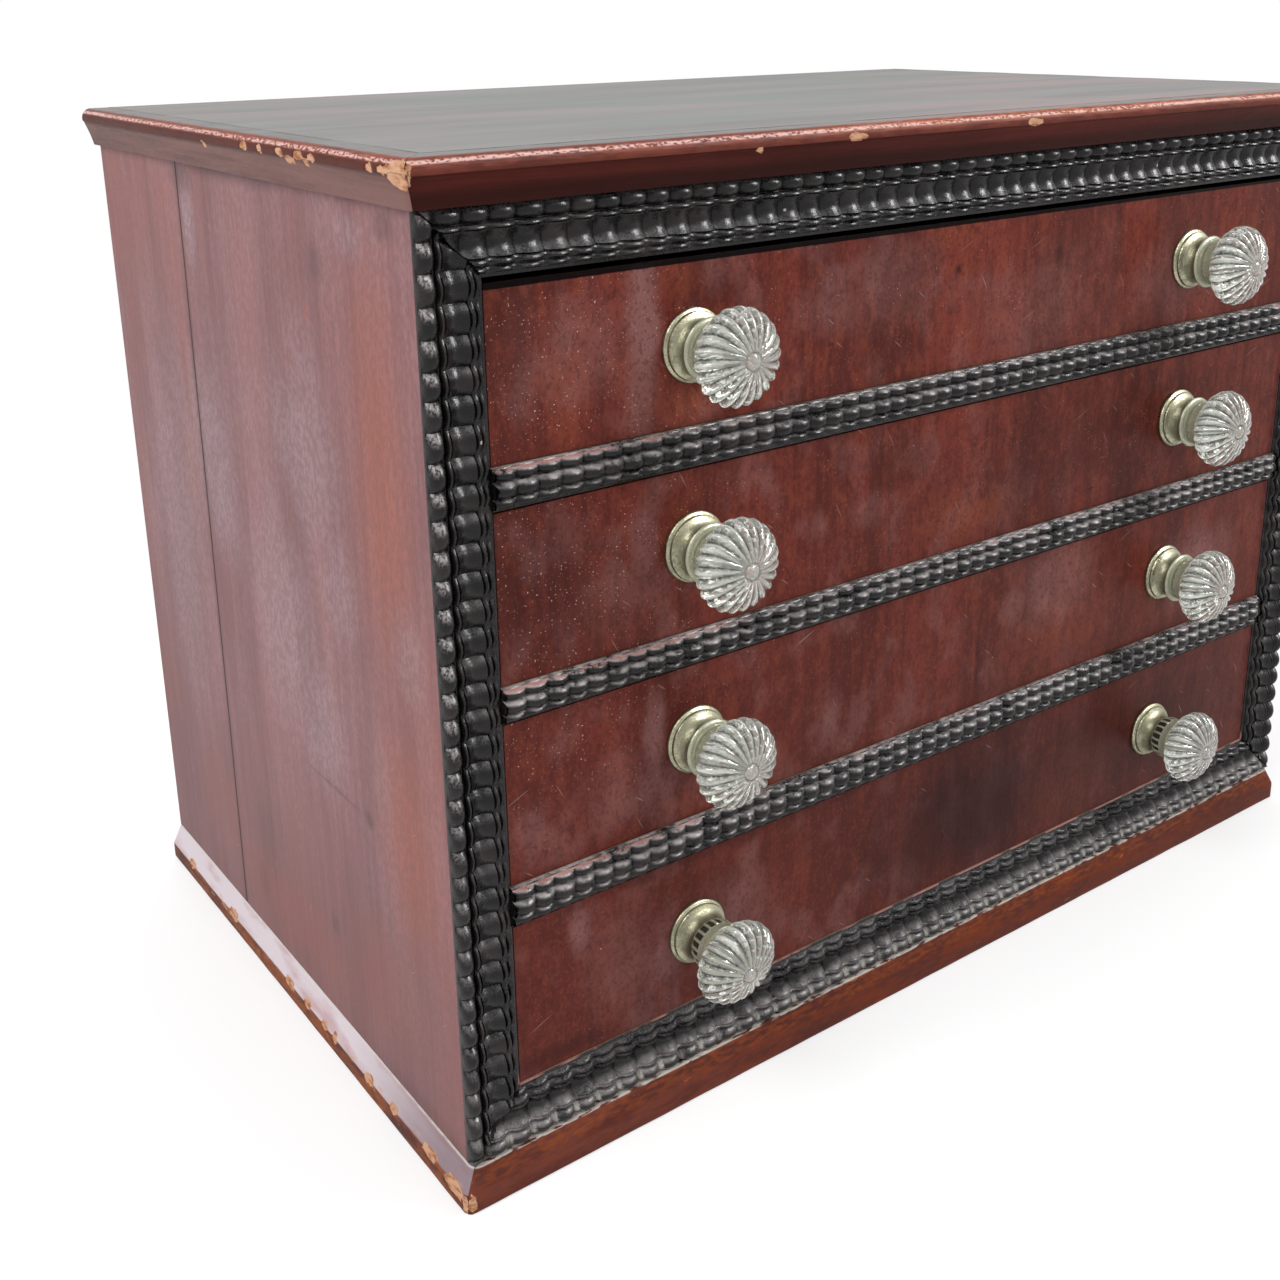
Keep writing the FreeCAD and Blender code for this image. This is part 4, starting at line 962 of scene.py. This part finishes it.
class RippleSizes(bpy.types.PropertyGroup):
    """Sizes of the ripple mouldings."""
    frame_pitch: size_value("Frame pitch", "From ripple to ripple on the wide frame", 9.69 * MM)
    frame_depth: size_value("Frame ripple depth", "How far the section dips between ripples", 2.6 * MM)
    rail_pitch: size_value("Rail pitch", "From ripple to ripple on the narrow strips", 8.31 * MM)
    rail_depth: size_value("Rail ripple depth", "How far the narrow strips dip", 2.0 * MM)
    roundness: share_value("Roundness", "Lower is flatter on the ripple and sharper between", 0.7)
    steps: count_value("Steps", "Half the rings of faces in one ripple", 8)
    wander: size_value("Wander", "Unevenness of the handwork", 1.6 * MM)
    crack: size_value("Mitre crack", "Half of the open mitre joint", 0.22 * MM)


class KnobSizes(bpy.types.PropertyGroup):
    """Sizes of the knobs."""
    lobes: count_value("Lobes", "Lobes round the glass head", 22)
    lobe_depth: size_value("Lobe depth", "Depth between the lobes", 2.0 * MM)
    swirl: angle_value("Swirl", "Turn of the lobes from back to front", 15)
    slots: count_value("Slots", "Slots round the brass ferrule", 18)
    slot_depth: size_value("Slot depth", "Depth of the slots", 0.9 * MM)
    droop: angle_value("Droop", "Lean of the loosest head", 7)


class EdgeWear(bpy.types.PropertyGroup):
    """Easing and wear of the edges."""
    board: size_value("Board edges", "Rounding of the boards", 0.45 * MM)
    front: size_value("Drawer edges", "Rounding of the drawer fronts", 0.8 * MM)
    top_corner: size_value("Top corner", "Rounding of the top's worn corners", 2.2 * MM)
    plinth_corner: size_value("Plinth corner", "Rounding of the plinth's worn corners", 4.2 * MM)
    wobble: size_value("Wobble", "Unevenness of the mouldings' surface", 0.12 * MM)
    crack: size_value("Mitre crack", "Half of the open mitre joint", 0.06 * MM)
    # Height of the painted shadow along the first drawer's upper edge.
    painted_shadow: size_value("Shadowed edge", "Height of the first drawer's sooty edge", 1.7 * MM)


class StageLook(bpy.types.PropertyGroup):
    """Floor, light and camera."""
    floor: colour_value("Floor", "Colour of the floor", (0.93, 0.93, 0.93))
    sky: share_value("Sky", "Strength of the even light", 0.74)
    key: share_value("Key light", "Power of the large soft lamp in watts", 32.0, 0, 1000)
    front: share_value("Front light", "Power of the small lamp at the front's right, in watts", 15.0, 0, 1000)
    card: share_value("Card", "Power of the white card that only gloss shows, in watts", 56.0, 0, 1000)
    fill: share_value("Fill light", "Power of the lamp overhead in watts", 11.0, 0, 1000)
    yaw: angle_value("Camera yaw", "Turn of the camera from straight ahead towards the right", 36.0188)
    pitch: angle_value("Camera pitch", "Lean of the camera", -17.1128)
    roll: angle_value("Camera roll", "Roll of the camera", -0.7643)
    lens: share_value("Lens", "Focal length in millimetres", 42.71, 1, 500)


class ChestSettings(bpy.types.PropertyGroup):
    """All that a user would change."""
    colours: bpy.props.PointerProperty(type=ChestColours)
    ripples: bpy.props.PointerProperty(type=RippleSizes)
    knobs: bpy.props.PointerProperty(type=KnobSizes)
    wear: bpy.props.PointerProperty(type=EdgeWear)
    stage: bpy.props.PointerProperty(type=StageLook)


def settings():
    return bpy.context.scene.chest


def shown(bench):
    """1 for the rays that show a surface to the eye, straight or by way of metal and glass."""
    ray = bench.node("ShaderNodeLightPath")
    return bench.wire(ray, "Is Camera Ray").most(bench.wire(ray, "Is Glossy Ray")).most(
        bench.wire(ray, "Is Transmission Ray"))


def floor_paint(look):
    """Pale paint that keeps the chest's shadow and turns to plain white further off."""
    m = Finish("floor")
    tone = m.blend(look.floor, tuple(0.985 * value for value in look.floor), m.cloud(1.5, detail=2))
    paint = m.take("ShaderNodeBsdfPrincipled", "BSDF", None, {
        "Base Color": tone, "Roughness": 0.9, "Specular IOR Level": 0.2})
    glow = m.take("ShaderNodeEmission", "Emission", None, {"Color": (1, 1, 1, 1), "Strength": 1.0})
    away = ((m.x - chest_middle.x) ** 2 + (m.y - chest_middle.y) ** 2) ** 0.5
    mixed = m.take("ShaderNodeMixShader", "Shader", None, {
        "Fac": shown(m) * (0.45 + 0.55 * m.step(away, 0.32, 0.75)), "Shader": paint, "Shader_001": glow})
    m.node("ShaderNodeOutputMaterial", None, {"Surface": mixed})
    return m.material


FLOOR_REACH, FLOOR_GAP = 14.0, 0.0003
CAMERA_PLACE = Vector((-0.448343, -0.405093, 0.413987))
CAMERA_SHIFT = (-0.015625, -0.1328125)


def lay_floor(look):
    """A wide floor just under the plinth."""
    mesh = bpy.data.meshes.new("floor")
    corners = [(-1, -1), (1, -1), (1, 1), (-1, 1)]
    mesh.from_pydata([(FLOOR_REACH * x, FLOOR_REACH * y, 0) for x, y in corners], [], [(0, 1, 2, 3)])
    mesh.materials.append(floor_paint(look))
    floor = linked("floor", mesh)
    floor.location.z = -FLOOR_GAP


def light_up(scene, look):
    """Even light from all round, and soft lamps, placed from the chest's middle."""
    scene.world = bpy.data.worlds.new("sky")
    scene.world.use_nodes = True
    scene.world.node_tree.nodes.clear()
    air = Bench(scene.world.node_tree)
    seen = shown(air)
    light = air.take("ShaderNodeBackground", "Background", None, {
        "Color": (1, 1, 1, 1), "Strength": seen + (1 - seen) * look.sky})
    air.node("ShaderNodeOutputWorld", None, {"Surface": light})
    for name, power, side, place, lights_matt in (("key", look.key, 1.2, (-1.5, -0.5, 1.5), True),
                                                  ("card", look.card, 0.9, (1.25, -1.3, 1.3), False),
                                                  ("front", look.front, 0.3, (1.15, -1.2, 1.35), True),
                                                  ("overhead", look.fill, 0.8, (0.2, 0.6, 2.3), True)):
        lamp = bpy.data.lights.new(name, "AREA")
        lamp.energy = power
        lamp.size = side
        held = linked(name, lamp)
        held.visible_diffuse = lights_matt
        held.location = chest_middle + Vector(place)
        held.rotation_euler = (-Vector(place)).to_track_quat("-Z", "Y").to_euler()


def set_camera(scene, look):
    """The camera at the photograph's angle."""
    eye = bpy.data.cameras.new("camera")
    eye.sensor_width = 36.0
    eye.lens = look.lens
    eye.shift_x, eye.shift_y = CAMERA_SHIFT
    eye.clip_start = 0.01
    eye.clip_end = 100.0
    ahead = Vector((math.sin(look.yaw) * math.cos(look.pitch), math.cos(look.yaw) * math.cos(look.pitch),
                    math.sin(look.pitch)))
    level = Vector((math.cos(look.yaw), -math.sin(look.yaw), 0))
    upward = level.cross(ahead)
    right = math.cos(look.roll) * level + math.sin(look.roll) * upward
    top = -math.sin(look.roll) * level + math.cos(look.roll) * upward
    scene.camera = linked("camera", eye)
    scene.camera.matrix_world = Matrix((right, top, -ahead)).transposed().to_4x4()
    scene.camera.location = CAMERA_PLACE


class CHEST_OT_stage(bpy.types.Operator):
    """Put up the floor, the light and the camera"""
    bl_idname = "chest.stage"
    bl_label = "Stage"

    def execute(self, context):
        look = settings().stage
        lay_floor(look)
        light_up(context.scene, look)
        set_camera(context.scene, look)
        context.scene.view_settings.view_transform = "Standard"
        return {"FINISHED"}


class CHEST_OT_ripples(bpy.types.Operator):
    """Make the ebonised ripple mouldings of the case front"""
    bl_idname = "chest.ripples"
    bl_label = "Ripple mouldings"

    def execute(self, context):
        sizes = settings().ripples
        tree = moulding_tree()
        common = {"Steps": sizes.steps, "Roundness": sizes.roundness, "Wander": sizes.wander}
        finish = ebonised("ebonised_frame", 81, False)
        rail_finish = ebonised("ebonised_strips", 87, True)
        low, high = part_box("ripple_frame_top")
        foot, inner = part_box("ripple_frame_bottom")
        wide, tall, middle = high.x - low.x, high.z - foot.z, (foot.z + high.z) / 2
        frames = (("top", wide, 0, (0, 0, high.z)), ("bottom", wide, 180, (0, 0, foot.z)),
                  ("left", tall, -90, (low.x, 0, middle)), ("right", tall, 90, (high.x, 0, middle)))
        for seed, (side, length, turn, place) in enumerate(frames, 1):
            piece = grown("rippled_frame_" + side, tree, frame_section((inner.z - foot.z) / MM), {
                **common, "Length": length, "Pitch": sizes.frame_pitch, "Ripple Depth": sizes.frame_depth,
                "Start Mitre": 1.0, "End Mitre": 1.0, "Joint Gap": sizes.crack,
                "Turn": (0, math.radians(turn), 0), "Place": place, "Seed": seed, "Material": finish})
            settle(piece, "case", "ripple_frame_" + side)
        for number in RAILS:
            low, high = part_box("ripple_rail_%d" % number)
            piece = grown("rippled_rail_%d" % number, tree, rail_section((high.z - low.z) / MM), {
                **common, "Length": high.x - low.x, "Pitch": sizes.rail_pitch,
                "Ripple Depth": sizes.rail_depth, "Place": (0, 0, high.z), "Seed": 10 + number,
                "Material": rail_finish})
            settle(piece, "case", "ripple_rail_%d" % number)
        return {"FINISHED"}


def chips_along(side, level, reach, places):
    """Chips down the left side's edge, each given by its middle and reach along Y and its depth."""
    return [((side, middle, level), (reach, long, reach * 1.3), deep) for middle, long, deep in places]


# Chips in the worn edges of the left and the front: middle, reach along each axis and depth, in millimetres
TOP_CHIPS = (chips_along(-249.9, 368.4, 1.5, ((110, 3.2, 0.5), (96, 2.2, 0.5), (79, 3.0, 0.4), (64, 3.6, 0.4),
                                              (54, 2.6, 0.45), (12.5, 2.4, 0.6), (4.6, 2.0, 0.5)))
             + chips_along(-249.9, 366.2, 1.6, ((72, 5.0, 0.35), (59, 3.0, 0.35), (150, 2.0, 0.3)))
             + [((-249.9, -5.5, 367.6), (3.4, 9.0, 6.2), 1.1), ((-74, -10.5, 368.4), (4.5, 2.0, 1.8), 0.35),
                ((19, -10.5, 368.4), (4.5, 2.0, 1.8), 0.35), ((-118, -10.5, 366.2), (2.5, 1.6, 1.4), 0.3)])
PLINTH_CHIPS = (chips_along(-248.1, 8.2, 2.2, ((270, 4, 0.5), (215, 6, 0.5), (150, 5, 0.5), (131, 3, 0.4),
                                               (114, 3, 0.5), (104, 2.4, 0.4), (72, 4, 0.4), (51, 3.4, 0.5),
                                               (21, 6, 0.6)))
                + [((-247.6, 3, 6.6), (3.2, 8, 3.6), 0.8), ((-246.2, -5.2, 4.2), (3.2, 3.2, 5.0), 0.5)])


CORNER_REACH = 0.02
RING_STEP = 1.5 * MM
DRIFTS, RAGS = 60, 520


def rounded_corners(places, box, radius, insets=None):
    """Moves the points near the two front corners of a box onto a round.

    The outline lies in from the box by the insets, sideways and forward, or else as far as each point does.
    """
    low, high = box
    for sign, edge in ((1, low.x), (-1, high.x)):
        u = sign * (places[:, 0] - edge)
        v = places[:, 1] - low.y
        if insets is None:
            in_u = in_v = numpy.minimum(u, v)
        else:
            in_u, in_v = insets
            near = (u < CORNER_REACH) & (v < CORNER_REACH)
            u = numpy.where(near, numpy.maximum(u, in_u), u)
            v = numpy.where(near, numpy.maximum(v, in_v), v)
        du, dv = in_u + radius - u, in_v + radius - v
        apart = numpy.maximum(numpy.hypot(du, dv), 1e-9)
        pulled = (du > 0) & (dv > 0) & (apart > radius)
        u = numpy.where(pulled, in_u + radius - du * radius / apart, u)
        v = numpy.where(pulled, in_v + radius - dv * radius / apart, v)
        places[:, 0] = edge + sign * u
        places[:, 1] = low.y + v


def wear_down(piece, seed, wobble, chips, round_off):
    """Rounds the corners, makes the surface uneven, and cuts the chips, noting where wood is bare."""
    mesh = piece.data
    count = len(mesh.vertices)
    places = numpy.empty(count * 3, dtype=numpy.float32)
    normals = numpy.empty(count * 3, dtype=numpy.float32)
    mesh.vertices.foreach_get("co", places)
    mesh.vertex_normals.foreach_get("vector", normals)
    places, normals = places.reshape(-1, 3).astype(float), normals.reshape(-1, 3)
    moved = Vector((seed, seed, seed))
    drift = numpy.array([noise.noise(Vector(place) * DRIFTS + moved) for place in places])
    ragged = numpy.array([noise.noise(Vector(place) * RAGS) for place in places])
    deep = (1 - drift) * wobble
    bare = numpy.zeros(count)
    for middle, reach, cut in chips:
        away = numpy.linalg.norm((places / MM - middle) / reach, axis=1) + 0.35 * ragged
        dip = numpy.clip((1 - away) / 0.45, 0, 1)
        deep += cut * MM * dip * dip * (3 - 2 * dip)
        bare = numpy.maximum(bare, numpy.clip((1.12 - away) / 0.4, 0, 1))
    places -= normals * deep[:, None]
    round_off(places)
    mesh.vertices.foreach_set("co", places.astype(numpy.float32).ravel())
    mesh.attributes.new("bare", "FLOAT", "POINT").data.foreach_set("value", bare.astype(numpy.float32))
    mesh.update()


def three_sides(kind, sections, finishes, chips, round_off, lean=1.0):
    """Front, left and right pieces of a mitred edge: sections and finishes are for the sides, then the front.

    The mitre leans away from the front by more than 45 degrees where the side's slope is wider.
    """
    tree = moulding_tree()
    wear = settings().wear
    low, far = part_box(kind + "_front")
    left_low, left_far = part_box(kind + "_left")
    depth, middle = left_far.y - left_low.y, (left_low.y + left_far.y) / 2
    quarter = math.radians(90)
    runs = (("front", far.x - low.x, (quarter, 0, 0), (0, low.y, far.z), (lean, lean)),
            ("left", depth, (quarter, 0, -quarter), (low.x, middle, far.z), (0.0, 1 / lean)),
            ("right", depth, (quarter, 0, quarter), (far.x, middle, far.z), (1 / lean, 0.0)))
    for seed, (side, length, turn, place, mitres) in enumerate(runs, 3):
        piece = grown("worn_%s_%s" % (kind, side), tree, sections[side == "front"], {
            "Length": length, "Pitch": RING_STEP, "Steps": 1, "Ripple Depth": 0.0, "Start Mitre": mitres[0],
            "End Mitre": mitres[1], "Joint Gap": wear.crack, "Turn": turn, "Place": place, "Seed": seed,
            "Material": finishes[side == "front"]})
        wear_down(piece, seed, wear.wobble, chips, round_off)
        settle(piece, "case", "%s_%s" % (kind, side))


# Widths of the edges, and how far the plinth's slopes fall and spread, in millimetres
TOP_EDGE, PLINTH_EDGE = 12.0, 40.0
PLINTH_DROP, SIDE_SLOPE, FRONT_SLOPE = 9.0, 4.6, 2.4


class CHEST_OT_edges(bpy.types.Operator):
    """Make the mitred mouldings round the top and the plinth"""
    bl_idname = "chest.edges"
    bl_label = "Edge mouldings"

    def execute(self, context):
        wear = settings().wear
        low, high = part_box("top_moulding_front")
        section = edge_section(TOP_EDGE, (high.z - low.z) / MM)
        finishes = (top_moulding_wood("mahogany_moulding_sides", "Y", 21, False),
                    top_moulding_wood("mahogany_moulding_front", "X", 24, True))
        three_sides("top_moulding", (section, section), finishes, TOP_CHIPS,
                    lambda places: rounded_corners(places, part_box("top_moulding_front"), wear.top_corner))

        low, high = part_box("plinth_front")
        sections = [plinth_section(PLINTH_EDGE, (high.z - low.z) / MM, PLINTH_DROP, slope)
                    for slope in (SIDE_SLOPE, FRONT_SLOPE)]
        finishes = (plinth_wood("mahogany_plinth_sides", "Y", 31, False),
                    plinth_wood("mahogany_plinth_front", "X", 34, True))

        def round_plinth(places):
            rise = numpy.clip(1 - (high.z - places[:, 2]) / (PLINTH_DROP * MM), 0, 1)
            insets = (SIDE_SLOPE * MM * rise, FRONT_SLOPE * MM * rise)
            rounded_corners(places, (low, high), wear.plinth_corner, insets)

        three_sides("plinth", sections, finishes, PLINTH_CHIPS, round_plinth, SIDE_SLOPE / FRONT_SLOPE)
        return {"FINISHED"}


class CHEST_OT_boards(bpy.types.Operator):
    """Finish the sides, the top and the drawer fronts"""
    bl_idname = "chest.boards"
    bl_label = "Mahogany boards"

    def execute(self, context):
        wear = settings().wear
        for side, seed, marked in (("left", 1, True), ("right", 41, False)):
            finish = side_wood("mahogany_side_" + side, seed, marked)
            for half in ("front", "back"):
                eased("side_%s_%s" % (side, half), wear.board, finish, "case")
        dress("top_board", top_wood())
        front = drawer_front_wood(9)
        for number in DRAWERS:
            eased("drawer_%d_front" % number, wear.front, front, "drawer_%d" % number)
        return {"FINISHED"}


class CHEST_OT_carcass(bpy.types.Operator):
    """Finish the softwood inside the case and the drawers"""
    bl_idname = "chest.carcass"
    bl_label = "Carcass and drawer wood"

    def execute(self, context):
        runs = {"X": ["carcass_top", "carcass_bottom", "divider_1", "divider_2", "divider_3", "plinth_back",
                      "drawer_stops"],
                "Y": [], "Z": ["back_panel"]}
        for number in DRAWERS:
            runs["Y"] += ["drawer_%d_side_left" % number, "drawer_%d_side_right" % number]
            runs["X"] += ["drawer_%d_back" % number, "drawer_%d_bottom" % number]
        for seed, (grain, nodes) in enumerate(runs.items(), 51):
            finish = carcass_wood(grain, seed)
            for node in nodes:
                dress(node, finish)
        return {"FINISHED"}


def head_section(length, radius, seat):
    """Half section of a glass head: (radius, forward, share of the lobes cut there) in millimetres."""
    points = [(0, seat, 0)]
    back, front, count = 32, 167, 40
    for step in range(count + 1):
        lean = math.radians(back + (front - back) * step / count)
        along_axis = (math.cos(math.radians(back)) - math.cos(lean)) / (
            math.cos(math.radians(back)) - math.cos(math.radians(front)))
        crown = radius * math.sin(lean)
        share = min(1.0, max(0.12, (crown - 2.4) / 8.0)) ** 0.7
        points.append((crown, seat + along_axis * (length - 1.4), share))
    boss, rise = 3.0, 2.0
    foot = points[-1][1]
    points += [(boss + 0.7, foot - 0.3, 0.4), (boss + 0.25, foot - 1.3, 0.2)]
    for step in range(9):
        angle = math.radians(90 * step / 8)
        points.append((boss * math.cos(angle), foot - 0.9 + rise * math.sin(angle), 0))
    return points


def rose_section(collared):
    """Section of a brass rose: rings, a dished neck, and a collar with light slots, or deep slots alone."""
    bore = 2.1
    points = [(bore, 0, 0), (12.9, 0, 0), (13.2, 0.4, 0), (13.2, 1.2, 0), (12.9, 1.6, 0), (12.5, 1.75, 0)]
    points += [(12.15, 2.0, 0), (12.25, 2.6, 0), (12.0, 3.1, 0), (11.5, 3.3, 0), (11.2, 3.5, 0)]
    for step in range(1, 9):
        share = step / 8
        points.append((11.2 - 2.7 * math.sin(share * math.pi / 2), 3.5 + 4.9 * share ** 1.5, 0))
    if collared:
        depth, last = 0.3, 14.0
        points += [(8.6, 8.9, 0), (9.4, 9.2, 0)]
        points += [(10.5 + 0.9 * math.sin(math.pi * k / 6), 9.4 + 1.9 * k / 6, 0) for k in range(7)]
        points += [(9.8, 11.4, 0), (9.75, 12.0, 0), (9.8, 12.45, 0)]
    else:
        depth, last = 1, 13.4
        points += [(8.7, 8.9, 0)]
    first = points[-1][1] + 0.1
    points += [(9.2, first, depth), (9.9, (first + last) / 2, depth), (9.9, last, depth)]
    points += [(9.8, last + 0.1, 0), (9.7, 16.0, 0), (9.9, 16.3, 0)]
    points += [(9.9, 16.9, 0), (9.5, 17.2, 0), (bore, 17.2, 0)]
    return points


# The drawer whose roses have no collar, and the knob whose head droops
OPEN_ROSES = 4
LOOSE_HEAD = (4, "Left")


class CHEST_OT_knobs(bpy.types.Operator):
    """Make the brass roses and the lobed glass heads of the knobs"""
    bl_idname = "chest.knobs"
    bl_label = "Knobs"

    def execute(self, context):
        sizes = settings().knobs
        tree = turned_tree()
        glass = pressed_glass(61)
        brass = aged_brass(63)
        for number in DRAWERS:
            name = "drawer_%d" % number
            low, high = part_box(name + "_knob_heads")
            radius, length, seat = (high.z - low.z) / 2, high.y - low.y, -high.y
            head_values = {"Segments": sizes.lobes * 12, "Repeats": sizes.lobes, "Cut": sizes.lobe_depth,
                           "Swirl": sizes.swirl, "Seat": seat, "Length": length, "Material": glass}
            rose_values = {"Segments": sizes.slots * 8, "Repeats": sizes.slots, "Cut": sizes.slot_depth,
                           "Squareness": 1.0, "Seat": 0.0, "Length": 1.0, "Material": brass}
            for side, x, more in (("Left", low.x + radius, 0.0), ("Right", high.x - radius, 0.07)):
                axis = Vector((x, 0, (low.z + high.z) / 2))
                droop = sizes.droop if (number, side) == LOOSE_HEAD else 0.0
                spin = 0.11 * number + more
                turn = Matrix.Rotation(droop, 3, "X") @ Matrix.Rotation(spin, 3, "Y")
                pivot = Vector((0, -seat, 0))
                head_values[side + " Turn"] = tuple(turn.to_euler())
                head_values[side + " Place"] = tuple(axis + pivot - turn @ pivot)
                rose_values[side + " Place"] = tuple(axis)
            section = head_section(length / MM, radius / MM, seat / MM)
            settle(grown(name + "_glass_heads", tree, section, head_values, closed=False),
                   name, name + "_knob_heads")
            settle(grown(name + "_brass_roses", tree, rose_section(number != OPEN_ROSES), rose_values),
                   name, name + "_knob_roses")
        return {"FINISHED"}


class CHEST_OT_ironwork(bpy.types.Operator):
    """Finish the nails, the screws and the bolts"""
    bl_idname = "chest.ironwork"
    bl_label = "Nails, screws and bolts"

    def execute(self, context):
        metal = iron(71)
        for node in ["back_nails", "plinth_screws"] + ["drawer_%d_knob_bolts" % number for number in DRAWERS]:
            dress(node, metal)
        return {"FINISHED"}


class CHEST_PT_panel(bpy.types.Panel):
    """Lists the operators in the order in which they run"""
    bl_idname = "CHEST_PT_panel"
    bl_label = "Chest of drawers"
    bl_space_type = "VIEW_3D"
    bl_region_type = "UI"
    bl_category = "Chest"

    def draw(self, context):
        for step in STEPS:
            self.layout.operator(step.bl_idname)


STEPS = (CHEST_OT_stage, CHEST_OT_boards, CHEST_OT_carcass, CHEST_OT_edges, CHEST_OT_ripples, CHEST_OT_knobs,
         CHEST_OT_ironwork)
CLASSES = (ChestColours, RippleSizes, KnobSizes, EdgeWear, StageLook, ChestSettings, *STEPS, CHEST_PT_panel)


def register():
    for kind in CLASSES:
        bpy.utils.register_class(kind)
    bpy.types.Scene.chest = bpy.props.PointerProperty(type=ChestSettings)


def unregister():
    del bpy.types.Scene.chest
    for kind in reversed(CLASSES):
        bpy.utils.unregister_class(kind)


def main():
    """Registers the add-on and makes every piece in order."""
    register()
    for step in STEPS:
        group, name = step.bl_idname.split(".")
        getattr(getattr(bpy.ops, group), name)()


if __name__ == "__main__":
    main()
